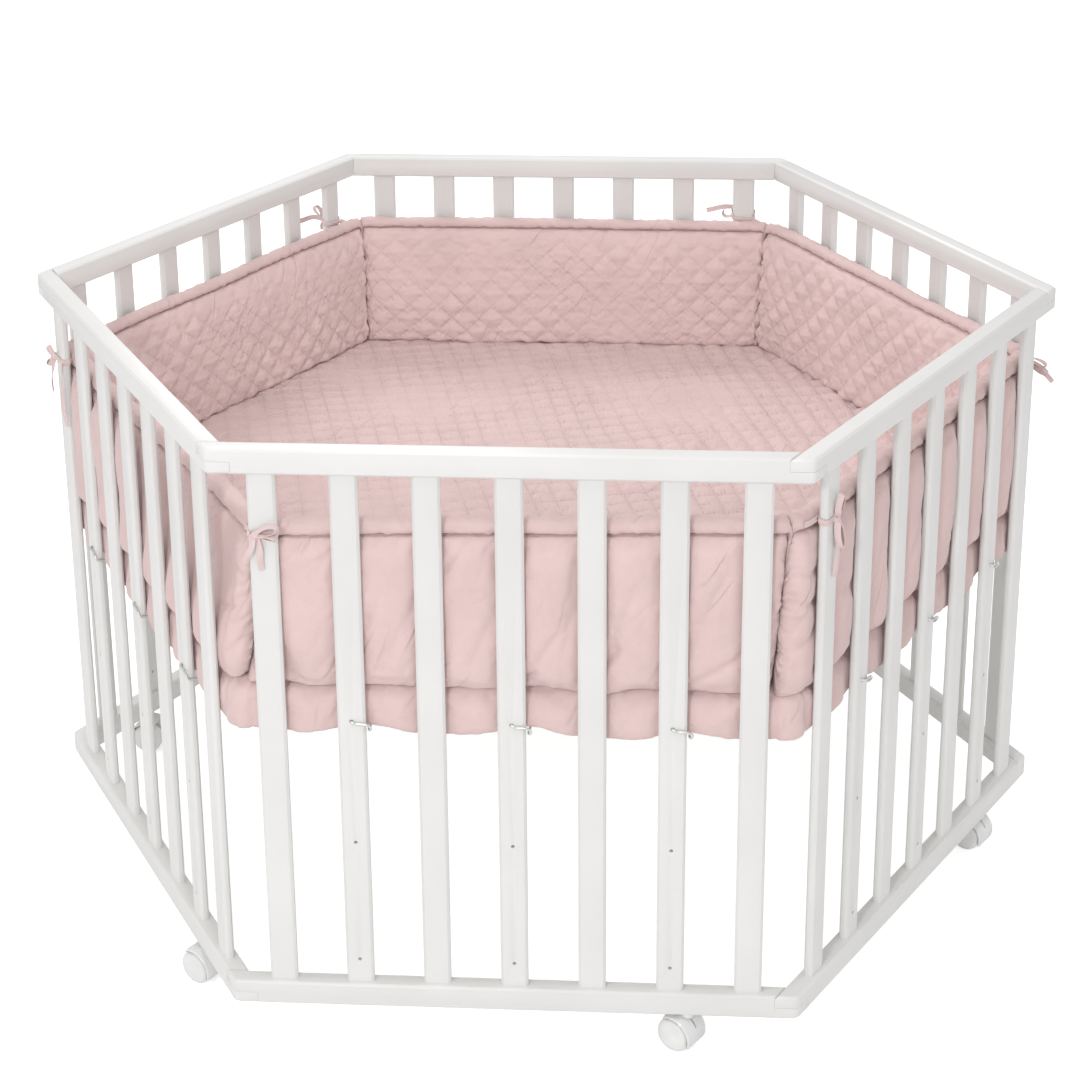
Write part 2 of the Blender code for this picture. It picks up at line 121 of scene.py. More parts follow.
floor_material, tree, shader = principled(
    "studio floor", (0.93, 0.93, 0.93), 0.9, Specular_IOR_Level=0.1, Emission_Color=(1, 1, 1, 1)
)
glow(tree, shader.inputs["Emission Strength"], 0.06, 0.52)
bm = bmesh.new()
bmesh.ops.create_grid(bm, x_segments=1, y_segments=1, size=20)
studio_floor = finished(bm, "studio floor", floor_material)

surround = bpy.data.worlds.new("white surround")
surround.use_nodes = True
sky = surround.node_tree.nodes["Background"]
sky.inputs["Color"].default_value = (1, 1, 1, 1)
glow(surround.node_tree, sky.inputs["Strength"], 0.73, 1.0)
bpy.context.scene.world = surround
bpy.context.scene.view_settings.view_transform = "Standard"

for name, place, size, power in (
    ("front light", (-0.7, -3.2, 2.2), 0.6, 27.0),
    ("top light", (-0.2, -1.3, 3.0), 1.0, 12.0),
    ("back light", (-0.5, 1.7, 2.3), 0.9, 15.0),
):
    lamp = bpy.data.lights.new(name, "AREA")
    lamp.shape = "DISK"
    lamp.size = size
    lamp.energy = power
    light = added(name, lamp)
    light.location = place
    light.rotation_euler = (Vector((0, 0, 0.4)) - light.location).to_track_quat("-Z", "Y").to_euler()


# ------------------------------------------------------------------ playpen panels
# Six panels of solid beech, each glued up from two rails and seven slats with rounded edges, then
# sprayed with white lacquer. The rails lap at the corners round a hidden pin.

SIDES = 6
SIDE = 0.620
APOTHEM = SIDE / 2 / math.tan(math.pi / SIDES)
TOP_RAIL_UNDERSIDE = 0.685
BOTTOM_RAIL_TOP = 0.076
EDGE_ROUNDING = 0.0011


def side_matrix(k):
    """From one side's own frame, with x along it and y inwards from its outer face, to the world."""
    return Matrix.Rotation(k * 2 * math.pi / SIDES, 4, "Z") @ Matrix.Translation((0, -APOTHEM, 0))


def node_group(name, kind, inputs, outputs):
    """A shader group that turns inputs of one kind into numbers, and the sockets inside it."""
    group = bpy.data.node_groups.new(name, "ShaderNodeTree")
    for label in inputs:
        group.interface.new_socket(label, in_out="INPUT", socket_type="NodeSocket" + kind)
    for label in outputs:
        group.interface.new_socket(label, in_out="OUTPUT", socket_type="NodeSocketFloat")
    return group, group.nodes.new("NodeGroupInput").outputs, group.nodes.new("NodeGroupOutput").inputs


def clouds(tree, place, scale, detail=2.0, distortion=0.0):
    """Soft noise from 0 to 1."""
    links = (("Vector", place), ("Scale", scale), ("Detail", detail), ("Distortion", distortion))
    return node(tree, "TexNoise", links).outputs["Fac"]


def ramp(tree, source, low, high, at=(0.3, 0.7)):
    """A colour between two colours."""
    made = node(tree, "ValToRGB", ((0, source),))
    for element, colour, place in zip(made.color_ramp.elements, (low, high), at):
        element.color = (*colour, 1)
        element.position = place
    return made.outputs[0]


def dress(tree, shader, tone, gloss=None, height=None, strength=0.0, distance=0.0):
    """Gives a shader its colour, its roughness and the bump of its skin."""
    tree.links.new(tone, shader.inputs["Base Color"])
    if gloss is not None:
        tree.links.new(gloss, shader.inputs["Roughness"])
    if height is not None:
        bump = node(tree, "Bump", (("Height", height), ("Strength", strength), ("Distance", distance)))
        tree.links.new(bump.outputs[0], shader.inputs["Normal"])


# Long grain: fine streaks along the second coordinate, with a slower drift of tone.
tree, given, result = node_group("long grain", "Vector", ["Place"], ["Streak", "Drift"])
along = node(tree, "VectorMath", ((0, given[0]), (1, (1.0, 0.02, 1.0))), operation="MULTIPLY")
tree.links.new(clouds(tree, along.outputs[0], 700.0, 3.0), result["Streak"])
tree.links.new(clouds(tree, given[0], 9.0), result["Drift"])
grain_group = tree

lacquer, tree, shader = principled(
    "white lacquer", (0.84, 0.835, 0.82), 0.32, Coat_Weight=0.12, Coat_Roughness=0.12
)
uv = node(tree, "UVMap", uv_map="grain").outputs[0]
streak, drift = node(tree, "Group", (("Place", uv),), node_tree=grain_group).outputs
tone = ramp(tree, drift, (0.758, 0.750, 0.736), (0.792, 0.784, 0.770))
dress(tree, shader, tone, mapped(tree, streak, 0.0, 1.0, 0.26, 0.42), streak, 0.10, 0.0004)


def merged_copy(node_name):
    """A CAD node's mesh as a bmesh of joined, flat faces."""
    bm = bmesh.new()
    bm.from_mesh(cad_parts[node_name].data)
    bmesh.ops.remove_doubles(bm, verts=bm.verts, dist=2e-5)
    bmesh.ops.dissolve_limit(
        bm, angle_limit=math.radians(1.5), verts=bm.verts, edges=bm.edges, delimit={"NORMAL"}
    )
    return bm


def soften(bm, width, sharp=25, segments=2):
    """Rounds every edge that turns by more than this many degrees."""
    hard = [
        edge for edge in bm.edges if len(edge.link_faces) == 2
        and edge.calc_face_angle(0) > math.radians(sharp)
    ]
    bmesh.ops.bevel(
        bm, geom=hard, offset=width, offset_type="OFFSET", affect="EDGES", segments=segments,
        profile=0.5, material=-1, clamp_overlap=True,
    )


def lay_grain(bm, k):
    """Coordinates in metres that run along each rail and each slat."""
    layer = bm.loops.layers.uv.new("grain")
    back = side_matrix(k).inverted()
    for face in bm.faces:
        centre = back @ face.calc_center_median()
        upright = BOTTOM_RAIL_TOP + 0.002 < centre.z < TOP_RAIL_UNDERSIDE - 0.002
        for loop in face.loops:
            p = back @ loop.vert.co
            across = p.y * 1.7 + (p.x if upright else p.z)
            loop[layer].uv = (across, p.z + 3 * k) if upright else (across + 7, p.x + 3 * k)


for k in range(SIDES):
    bm = merged_copy(f"playpen_panel_{k + 1}")
    soften(bm, EDGE_ROUNDING)
    lay_grain(bm, k)
    panel = finished(bm, f"panel_{k + 1}", lacquer)
    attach(panel, "playpen")
    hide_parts(f"playpen_panel_{k + 1}")


# ------------------------------------------------------------------ floor hooks
# Zinc-plated steel wire, 3 mm thick, bent by machine: a pin in the slat's hole, a run across the
# slat's outer face, a tight turn round its edge and an arm that carries the floor board.

SLAT_PITCH = 0.085
SLAT_HALF = 0.015
SLAT_FACE = 0.006
LAST_SLAT = 3 * SLAT_PITCH
HOOKED_SLATS = (-2, 0, 2)
WIRE = 0.0015

zinc, tree, shader = principled("zinc wire", (0.74, 0.76, 0.74), 0.3, Metallic=1.0)
cloudy = clouds(tree, node(tree, "TexCoord").outputs["Object"], 160.0, 4.0)
tone = ramp(tree, cloudy, (0.62, 0.63, 0.61), (0.84, 0.85, 0.83), (0.35, 0.65))
dress(tree, shader, tone, mapped(tree, cloudy, 0.0, 1.0, 0.22, 0.46), cloudy, 0.15, 0.0003)

# Each row: along the side from the slat's middle, inset from the panel's face, height.
HOOK_ROUTE = (
    (0.0000, 0.0155, 0.4000), (0.0000, 0.0085, 0.4000), (0.0002, 0.0052, 0.4000),
    (0.0016, 0.0042, 0.3994), (0.0050, 0.0041, 0.3982), (0.0100, 0.0041, 0.3978),
    (0.0150, 0.0041, 0.3976), (0.0182, 0.0041, 0.3966), (0.0202, 0.0046, 0.3944),
    (0.0204, 0.0054, 0.3920), (0.0190, 0.0070, 0.3900), (0.0180, 0.0110, 0.3892),
    (0.0182, 0.0200, 0.3876), (0.0185, 0.0300, 0.3860), (0.0185, 0.0610, 0.3860),
)


def round_wire(points, radius, name, material, sides=3, steps=6):
    """A smooth round wire through points, made a mesh with closed ends."""
    curve = bpy.data.curves.new(name, "CURVE")
    curve.dimensions = "3D"
    curve.bevel_depth = radius
    curve.bevel_resolution = sides
    curve.resolution_u = curve.render_resolution_u = steps
    curve.use_fill_caps = True
    spline = curve.splines.new("BEZIER")
    spline.bezier_points.add(len(points) - 1)
    for knot, point in zip(spline.bezier_points, points):
        knot.co = point
        knot.handle_left_type = knot.handle_right_type = "AUTO"
    rough = bpy.data.objects.new(name, curve)
    mesh = bpy.data.meshes.new_from_object(rough)
    bpy.data.objects.remove(rough)
    bm = bmesh.new()
    bm.from_mesh(mesh)
    bmesh.ops.remove_doubles(bm, verts=bm.verts, dist=1e-6)
    bmesh.ops.recalc_face_normals(bm, faces=bm.faces)
    return finished(bm, name, material, 60)


for k in range(SIDES):
    for slat, letter in zip(HOOKED_SLATS, "abc"):
        at = side_matrix(k) @ Matrix.Translation((slat * SLAT_PITCH, 0, 0))
        hook = round_wire([at @ Vector(p) for p in HOOK_ROUTE], WIRE, f"hook_{k + 1}{letter}", zinc)
        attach(hook, "playpen")
        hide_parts(f"floor_hook_{k + 1}{letter}")


# ------------------------------------------------------------------ floor board
# One hexagon of 6 mm fibreboard with a white painted face and sanded edges, laid on the hooks'
# arms. The mat covers it, and only its underside shows from low down.

board_paint, tree, shader = principled("board paint", (0.84, 0.84, 0.82), 0.5)
spot = node(tree, "TexCoord").outputs["Object"]
tone = ramp(tree, clouds(tree, spot, 6.0, 3.0), (0.80, 0.79, 0.76), (0.87, 0.865, 0.845))
dress(tree, shader, tone, None, clouds(tree, spot, 420.0, 5.0), 0.2, 0.0004)

bm = merged_copy("floor_board")
soften(bm, 0.0008, sharp=60)
board = finished(bm, "board", board_paint)
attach(board, "playpen")
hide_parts("floor_board")


# ------------------------------------------------------------------ castors
# Moulded white nylon: a hood with a steel-pinned stem swivels under the rail and covers a pair of
# domed wheels that turn on one axle in its middle web. A short slot in the hood shows the core.

WHEEL_RADIUS = 0.0200
HOOD_INSIDE = 0.0212
HOOD_OUTSIDE = 0.0234
CASTOR_HALF = 0.018
WEB_HALF = 0.0035
WHEEL_GAP_HALF = 0.0041
TRAIL = 0.010
HOOD_FROM, HOOD_TO = math.radians(-20), math.radians(120)
SLOT_FROM, SLOT_TO = math.radians(26), math.radians(54)
STEM_U, STEM_INSET = 0.190, 0.011
AXLE_HEADINGS = (237, 237, 212, 57, 80, 237)

nylon, tree, shader = principled(
    "white nylon", (0.82, 0.81, 0.80), 0.3, Subsurface_Weight=0.04, Coat_Weight=0.2
)
spot = node(tree, "TexCoord").outputs["Object"]
flow = clouds(tree, spot, 60.0, 3.0)
tone = ramp(tree, flow, (0.79, 0.785, 0.775), (0.85, 0.845, 0.835))
gloss = mapped(tree, flow, 0.0, 1.0, 0.22, 0.40)
dress(tree, shader, tone, gloss, clouds(tree, spot, 900.0), 0.12, 0.0002)

# Painted shade: a dark tan colour on the hood's inner faces, where the discs meet the hood, and in the slot
# of the stem's socket, stands in for the shade that falls there.
painted_shade, tree, shader = principled("dusty nylon", (0.42, 0.36, 0.30), 0.7)
shade_noise = clouds(tree, node(tree, "TexCoord").outputs["Object"], 240.0)
dress(tree, shader, ramp(tree, shade_noise, (0.26, 0.21, 0.17), (0.62, 0.56, 0.50), (0.35, 0.65)))


def arc_of_section(section, start, end, steps):
    """A closed solid: a section of (across, radius) points spun about the axle between two angles."""
    bm = bmesh.new()
    ring = [bm.verts.new((r * math.cos(start), y, r * math.sin(start))) for y, r in section]
    first = bm.faces.new(ring)
    bmesh.ops.spin(
        bm, geom=[first, *first.edges, *first.verts], cent=(0, 0, 0), axis=(0, -1, 0),
        angle=end - start, steps=steps, use_merge=False, use_duplicate=False,
    )
    bm.faces.ensure_lookup_table()
    bmesh.ops.recalc_face_normals(bm, faces=bm.faces)
    return bm


def castor_hood():
    """Hood, web, collar and stem, with the stem on the Z axis."""
    inner, outer, half = HOOD_INSIDE, HOOD_OUTSIDE, CASTOR_HALF
    shell = arc_of_section(
        ((-half, inner), (half, inner), (half, outer - 0.0016), (half - 0.0012, outer - 0.0004),
         (half - 0.0035, outer), (0.0006, outer), (-0.0006, outer), (-half + 0.0035, outer),
         (-half + 0.0012, outer - 0.0004), (-half, outer - 0.0016)),
        HOOD_FROM, HOOD_TO, 40,
    )
    slot = []
    for face in shell.faces:
        spot = face.calc_center_median()
        radii = [math.hypot(vert.co.x, vert.co.z) for vert in face.verts]
        # The hood's inner faces and the slot's faces take the second material, the painted shade.
        if max(radii) < outer - 0.0015:
            face.material_index = 1
        if min(radii) > outer - 1e-5 and abs(spot.y) < 1e-4:
            if SLOT_FROM < math.atan2(spot.z, spot.x) < SLOT_TO:
                slot.append(face)
                face.material_index = 1
    bmesh.ops.inset_region(shell, faces=slot, thickness=0.0001, depth=-0.0012)
    web = arc_of_section(
        ((-WEB_HALF, 0.0042), (WEB_HALF, 0.0042), (WEB_HALF, inner + 0.0008), (-WEB_HALF, inner + 0.0008)),
        HOOD_FROM + 0.03, HOOD_TO - 0.03, 36,
    )
    for part in (shell, web):
        bmesh.ops.translate(part, verts=part.verts, vec=(-TRAIL, 0, WHEEL_RADIUS))
    hood = bmesh.new()
    for part in (shell, web):
        block = bpy.data.meshes.new("block")
        part.to_mesh(block)
        part.free()
        hood.from_mesh(block)
        bpy.data.meshes.remove(block)
    for radius, low, high in ((0.0075, 0.0425, 0.0477), (0.0040, 0.0440, 0.0655)):
        made = bmesh.ops.create_cone(
            hood, cap_ends=True, segments=32, radius1=radius, radius2=radius, depth=high - low,
            matrix=Matrix.Translation((0, 0, (low + high) / 2)),
        )
        rims = dict.fromkeys(
            edge for vert in made["verts"] for edge in vert.link_edges
            if len(edge.link_faces) == 2 and edge.calc_face_angle(0) > 1
        )
        bmesh.ops.bevel(
            hood, geom=list(rims), offset=0.0006, affect="EDGES", segments=2, profile=0.5, material=-1
        )
    return hood


def castor_wheels():
    """Both wheels and their axle, turned about +Y."""
    half, gap, rim = CASTOR_HALF, WHEEL_GAP_HALF, WHEEL_RADIUS
    profile = [(-half - 0.0010, 0.0), (-half - 0.0008, 0.0060), (-half - 0.0002, 0.0120),
               (-half + 0.0008, 0.0165), (-half + 0.0022, 0.0188), (-half + 0.0040, 0.0198),
               (-half + 0.0060, rim), (-gap - 0.0008, rim), (-gap, rim - 0.0008), (-gap, 0.0030)]
    profile += [(-y, r) for y, r in reversed(profile)]
    bm = bmesh.new()
    chain = [bm.verts.new((r, y, 0)) for y, r in profile]
    edges = [bm.edges.new(pair) for pair in zip(chain, chain[1:])]
    bmesh.ops.spin(
        bm, geom=chain + edges, cent=(0, 0, 0), axis=(0, 1, 0), angle=2 * math.pi, steps=48,
        use_merge=True, use_duplicate=False,
    )
    bmesh.ops.remove_doubles(bm, verts=bm.verts, dist=1e-6)
    bmesh.ops.recalc_face_normals(bm, faces=bm.faces)
    return bm


for k in range(SIDES):
    stem = side_matrix(k) @ Vector((STEM_U, STEM_INSET, 0))
    turn = Matrix.Rotation(math.radians(AXLE_HEADINGS[k] + 90), 4, "Z")
    swivel = Matrix.Translation(stem) @ turn
    bm = castor_hood()
    bm.transform(swivel)
    hood = finished(bm, f"castor_hood_cover_{k + 1}", nylon)
    # Second material: the painted shade for the hood's inside and slot.
    hood.data.materials.append(painted_shade)
    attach(hood, f"castor_{k + 1}")
    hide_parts(f"castor_hood_{k + 1}")
    bm = castor_wheels()
    bm.transform(swivel @ Matrix.Translation((-TRAIL, 0, WHEEL_RADIUS)))
    wheels = finished(bm, f"castor_wheel_pair_{k + 1}", nylon)
    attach(wheels, f"castor_roller_{k + 1}")
    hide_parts(f"castor_wheels_{k + 1}")


# ------------------------------------------------------------------ mat base
# The mat's floor: dusty pink cotton satin over polyester wadding, quilted in squares, with a soft
# rolled edge of plain cotton that hangs over the board and swells out between the slats.

CORNER_INSET = 0.014
CORNER_RADIUS = 0.055
CORNER_START = SIDE / 2 - (CORNER_INSET + CORNER_RADIUS) * math.tan(math.pi / SIDES)
TURN_RADIUS = 0.050
HALF_SIDE = CORNER_START + TURN_RADIUS * math.pi / 6
LOBE = 0.0088
GAP_HALF = 0.0275
PINK = (0.745, 0.558, 0.542)
FLOOR_Z = 0.4480
FLOOR_QUILT = 0.0275
FLOOR_TURN = math.radians(13.5)
FLOOR_RELIEF = 0.0088
UNDERSIDE_Z = 0.3950
SECTION_STEPS = 12


def round_mat(k, s, inset, z):
    """A point of the mat at s along side k, going on round the corners into the next sides."""
    while s > HALF_SIDE:
        k, s = k + 1, s - 2 * HALF_SIDE
    while s < -HALF_SIDE:
        k, s = k - 1, s + 2 * HALF_SIDE
    over = abs(s) - CORNER_START
    x, y = s, inset
    if over > 0:
        radius = CORNER_RADIUS - (inset - CORNER_INSET)
        x = math.copysign(CORNER_START + radius * math.sin(over / TURN_RADIUS), s)
        y = CORNER_INSET + CORNER_RADIUS - radius * math.cos(over / TURN_RADIUS)
    turn = k * 2 * math.pi / SIDES
    y -= APOTHEM
    return Vector((x * math.cos(turn) - y * math.sin(turn), x * math.sin(turn) + y * math.cos(turn), z))


def rough(x, y, seed=0.0):
    """Smooth noise from about -1 to 1."""
    return noise.noise(Vector((x, y, seed))) * 1.7


def smoothstep(low, high, value):
    t = min(1.0, max(0.0, (value - low) / (high - low)))
    return t * t * (3 - 2 * t)


def hump(distance, width):
    return math.exp(-((distance / width) ** 2))


def on_one_side(s):
    """The same place counted from the middle of the side that it lies on."""
    while abs(s) > HALF_SIDE:
        s -= math.copysign(2 * HALF_SIDE, s)
    return s


def between_slats(s):
    """How far cloth swells out at s along a side: 0 behind a slat, 1 in the middle of a gap."""
    s = on_one_side(s)
    if abs(s) > LAST_SLAT + SLAT_HALF:
        return 0.75 * smoothstep(0, 0.018, abs(s) - LAST_SLAT - SLAT_HALF - 0.002)
    offset = (s + SLAT_PITCH / 2) % SLAT_PITCH - SLAT_PITCH / 2
    offset = SLAT_PITCH / 2 - abs(offset)
    return max(0.0, 1 - (offset / GAP_HALF) ** 2) ** 0.9


def between(a, b, c, d, t):
    """A point of the smooth curve through a, b, c and d, at share t of the way from b to c."""
    return 0.5 * (2 * b + (c - a) * t + (2 * a - 5 * b + 4 * c - d) * t * t
                  + (3 * b - a - 3 * c + d) * t * t * t)


def reaches(points):
    """The distance along to each of these points."""
    reach = [0.0]
    for here, there in zip(points, points[1:]):
        reach.append(reach[-1] + (there - here).length)
    return reach


def smooth_section(points, count):
    """(inset, z, distance along) at even steps along a closed smooth curve through points, and the
    distance along to each of the points."""
    fine = []
    total = len(points)
    for i in range(total):
        near = [Vector(points[(i + j) % total]) for j in (-1, 0, 1, 2)]
        fine += [between(*near, step / SECTION_STEPS) for step in range(SECTION_STEPS)]
    fine.append(fine[0].copy())
    reach = reaches(fine)
    section, j = [], 0
    for i in range(count + 1):
        want = reach[-1] * i / count
        while j < len(reach) - 2 and reach[j + 1] < want:
            j += 1
        share = (want - reach[j]) / (reach[j + 1] - reach[j])
        p = fine[j].lerp(fine[j + 1], share)
        section.append((p.x, p.y, want))
    return section, [reach[SECTION_STEPS * i] for i in range(total)]


def cloth_skin(name, columns, rows, place, material):
    """A coarse closed skin. place(column, row) gives a point, its cloth coordinates, and how firmly
    it is held: 1 where it is sewn down, 0 where it may swell."""
    bm = bmesh.new()
    bmesh.ops.create_grid(bm, x_segments=columns, y_segments=rows, size=0.5)
    layer = bm.loops.layers.uv.new("cloth")
    held = bm.verts.layers.float.new("held")
    cloth = {}
    for vert in bm.verts:
        column = round((vert.co.x + 0.5) * columns)
        row = round((vert.co.y + 0.5) * rows)
        vert.co, cloth[vert], vert[held] = place(column, row)
    for face in bm.faces:
        for loop in face.loops:
            loop[layer].uv = cloth[loop.vert]
    bmesh.ops.remove_doubles(bm, verts=bm.verts, dist=2e-6)
    caps = bmesh.ops.holes_fill(bm, edges=[edge for edge in bm.edges if edge.is_boundary])["faces"]
    for cap in caps:
        for loop in cap.loops:
            loop[layer].uv = next(o for o in loop.vert.link_loops if o.face not in caps)[layer].uv
    bmesh.ops.recalc_face_normals(bm, faces=bm.faces)
    return finished(bm, name, material, 180)


def swell(pieces, pressure, growth, furthest, steps=16):
    """Blows up padded cloth between its seams, with a little more cloth than its shape needs."""
    starts = {}
    for piece in pieces:
        starts[piece.name] = [vert.co.copy() for vert in piece.data.vertices]
        sewn = piece.vertex_groups.new(name="sewn")
        for index, held in enumerate(piece.data.attributes["held"].data):
            sewn.add([index], held.value, "REPLACE")
        cloth = piece.modifiers.new("padding", "CLOTH")
        settings = cloth.settings
        settings.quality = 4
        settings.vertex_group_mass = "sewn"
        settings.use_pressure = True
        settings.uniform_pressure_force = pressure
        settings.shrink_min = -growth
        settings.bending_stiffness = 0.3
        settings.effector_weights.gravity = 0
        cloth.collision_settings.use_collision = False
        cloth.point_cache.frame_end = steps
    for step in range(1, steps + 1):
        bpy.context.scene.frame_set(step)
    graph = bpy.context.evaluated_depsgraph_get()
    for piece in pieces:
        ends = [vert.co.copy() for vert in piece.evaluated_get(graph).data.vertices]
        piece.modifiers.clear()
        piece.vertex_groups.clear()
        for vert, start, end in zip(piece.data.vertices, starts[piece.name], ends):
            move = end - start
            vert.co = start + move * min(1.0, furthest / max(move.length, 1e-9))
    bpy.context.scene.frame_set(1)


def made_fine(piece):
    """One subdivision, applied."""
    fine = piece.modifiers.new("fine", "SUBSURF")
    fine.levels = fine.render_levels = 1
    fine.uv_smooth = "NONE"
    graph = bpy.context.evaluated_depsgraph_get()
    coarse = piece.data
    piece.data = bpy.data.meshes.new_from_object(piece.evaluated_get(graph))
    piece.modifiers.clear()
    bpy.data.meshes.remove(coarse)
    if "held" in piece.data.attributes:
        piece.data.attributes.remove(piece.data.attributes["held"])


def work_cloth(piece, relief):
    """Raises each point of the cloth along its normal. relief(u, v, point) gives how far."""
    mesh = piece.data
    raised = [normal.vector.copy() for normal in mesh.vertex_normals]
    spots = [None] * len(mesh.vertices)
    for loop, spot in zip(mesh.loops, mesh.uv_layers["cloth"].uv):
        spots[loop.vertex_index] = spot.vector
    for vert, normal, spot in zip(mesh.vertices, raised, spots):
        vert.co += normal * relief(spot[0], spot[1], vert.co)


def maths(tree, operation, *values):
    """One sum of numbers or outputs."""
    return node(tree, "Math", enumerate(values), operation=operation).outputs[0]


def mixed(tree, share, one, other):
    """One colour turned towards another."""
    return node(tree, "Mix", ((0, share), (6, one), (7, other)), data_type="RGBA").outputs[2]


def shade(colour, *shares):
    """A colour with each of its parts made darker."""
    return (*(part * share for part, share in zip(colour, shares)), 1)


# Plain weave: crossing threads as a height, from cloth coordinates in metres.
tree, given, result = node_group("plain weave", "Vector", ["Place"], ["Height"])
finer = node(tree, "VectorMath", ((0, given[0]), ("Scale", 5200.0)), operation="SCALE")
threads = node(tree, "SeparateXYZ", ((0, finer.outputs[0]),)).outputs
warp, weft = maths(tree, "SINE", threads[0]), maths(tree, "SINE", threads[1])
tree.links.new(maths(tree, "MULTIPLY", warp, weft), result["Height"])
weave_group = tree

# Quilting lines: the thread's line where either running coordinate is whole, and the fine puckers
# that stand across each line.
tree, given, result = node_group("quilting lines", "Float", ["First", "Second"], ["Line", "Pucker"])
aways, puckers = [], []
for one, other in ((given[0], given[1]), (given[1], given[0])):
    away = maths(tree, "PINGPONG", one, 0.5)
    slow, quick = maths(tree, "MULTIPLY", one, 1.3), maths(tree, "MULTIPLY", other, 6.5)
    spot = node(tree, "CombineXYZ", ((0, slow), (1, quick))).outputs[0]
    fold, near = clouds(tree, spot, 1.0, 1.5), mapped(tree, away, 0.42, 0.05)
    aways.append(away)
    puckers.append(maths(tree, "MULTIPLY", fold, near))
tree.links.new(mapped(tree, maths(tree, "MINIMUM", *aways), 0.055, 0.0), result["Line"])
tree.links.new(maths(tree, "ADD", *puckers), result["Pucker"])
quilt_group = tree

# Pulled creases: sparse thin troughs that lean along the cloth, as a height of 0 down to -1.
tree, given, result = node_group("pulled creases", "Vector", ["Place"], ["Height"])
leaned = node(tree, "VectorRotate", ((0, given[0]), (3, 0.52)), rotation_type="Z_AXIS").outputs[0]
longer = node(tree, "VectorMath", ((0, leaned), (1, (1.0, 0.22, 1.0))), operation="MULTIPLY")
folds = clouds(tree, longer.outputs[0], 24.0, 1.0, 0.4)
off = maths(tree, "ABSOLUTE", maths(tree, "SUBTRACT", folds, 0.5))
trough = mapped(tree, off, 0.0, 0.045, -1.0, 0.0, interpolation_type="SMOOTHSTEP")
where = mapped(tree, clouds(tree, given[0], 11.0), 0.47, 0.60)
tree.links.new(maths(tree, "MULTIPLY", trough, where), result["Height"])
crease_group = tree


def cotton(name, colour, lines=None, fade=None, seams=(), painted_pucker_shade=None):
    """Pink cotton satin, and its quilting where lines gives (across u, across v, shift) twice.

    The quilting grows from almost nothing to full strength between the two values of v in fade, and its
    stitched lines are darkened a little with painted shade.
    Sewn seams run along the cloth at the values of v in seams, each darkened along its line with painted
    shade. The puckers are darkened with painted shade, most past the second of the two values of v given
    for that shade, and hardly before the first.
    """
    material, tree, shader = principled(
        name, colour, 0.78, Sheen_Weight=0.18, Sheen_Roughness=0.4, Specular_IOR_Level=0.35
    )
    uv = node(tree, "UVMap", uv_map="cloth").outputs[0]
    u, v = node(tree, "SeparateXYZ", ((0, uv),)).outputs[:2]
    low, high = tuple(c * 0.95 for c in colour), tuple(min(1, c * 1.035) for c in colour)
    shown = ramp(tree, clouds(tree, uv, 14.0, 3.0), low, high)
    weave, creases = (
        node(tree, "Group", (("Place", uv),), node_tree=group).outputs["Height"]
        for group in (weave_group, crease_group)
    )
    height = maths(tree, "MULTIPLY_ADD", weave, 0.05, clouds(tree, uv, 75.0, 4.0, 0.8))
    height = maths(tree, "MULTIPLY_ADD", creases, 0.9, height)
    # Each seam: a groove in the bump, and painted shade darkening the cloth along its line.
    for seam in seams:
        shaken = maths(tree, "MULTIPLY_ADD", clouds(tree, uv, 90.0), 0.0022, v)
        away = maths(tree, "ABSOLUTE", maths(tree, "SUBTRACT", shaken, seam + 0.0011))
        crease = mapped(tree, away, 0.0003, 0.0020, 1.0, 0.0)
        painted_shade_share = maths(tree, "MULTIPLY", crease, 0.55)
        shown = mixed(tree, painted_shade_share, shown, shade(colour, 0.50, 0.45, 0.45))
        height = maths(tree, "MULTIPLY_ADD", crease, -1.2, height)
    if lines:
        first, second = (
            maths(tree, "MULTIPLY_ADD", v, v_share, maths(tree, "MULTIPLY_ADD", u, u_share, shift))
            for u_share, v_share, shift in lines
        )
        quilt = node(tree, "Group", (("First", first), ("Second", second)), node_tree=quilt_group)
        strength = mapped(tree, clouds(tree, uv, 6.0, 1.0), 0.38, 0.54, 0.45)
        if fade:
            strength = maths(tree, "MULTIPLY", strength, mapped(tree, v, *fade, 0.15))
        stitch_groove_and_shade, pucker = (maths(tree, "MULTIPLY", part, strength) for part in quilt.outputs)
        # Painted shade: the stitched lines are darkened a little.
        shown = mixed(tree, stitch_groove_and_shade, shown, shade(colour, 0.95, 0.93, 0.93))
        # Painted shade: the deeper puckers are darkened, fully only past the second value of v given for
        # it.
        if painted_pucker_shade:
            depth, reach = mapped(tree, pucker, 0.22, 0.55), mapped(tree, v, *painted_pucker_shade, 0.12, 0.8)
            painted_shade_share = maths(tree, "MULTIPLY", depth, reach)
            shown = mixed(tree, painted_shade_share, shown, shade(colour, 0.84, 0.80, 0.80))
        height = maths(tree, "MULTIPLY_ADD", pucker, 2.8, height)
        height = maths(tree, "MULTIPLY_ADD", stitch_groove_and_shade, -0.5, height)
    # Painted bounce light: rays that bounce off the cloth see a lighter, greyer pink than the camera does,
    # so the cloth throws more and whiter light into the pen and onto the slats.
    bounce_light_share = maths(tree, "MULTIPLY", node(tree, "LightPath").outputs["Is Diffuse Ray"], 0.8)
    tone = mixed(tree, bounce_light_share, shown, (0.80, 0.73, 0.72, 1))
    dress(tree, shader, tone, None, height, 0.7, 0.0018)
    return material


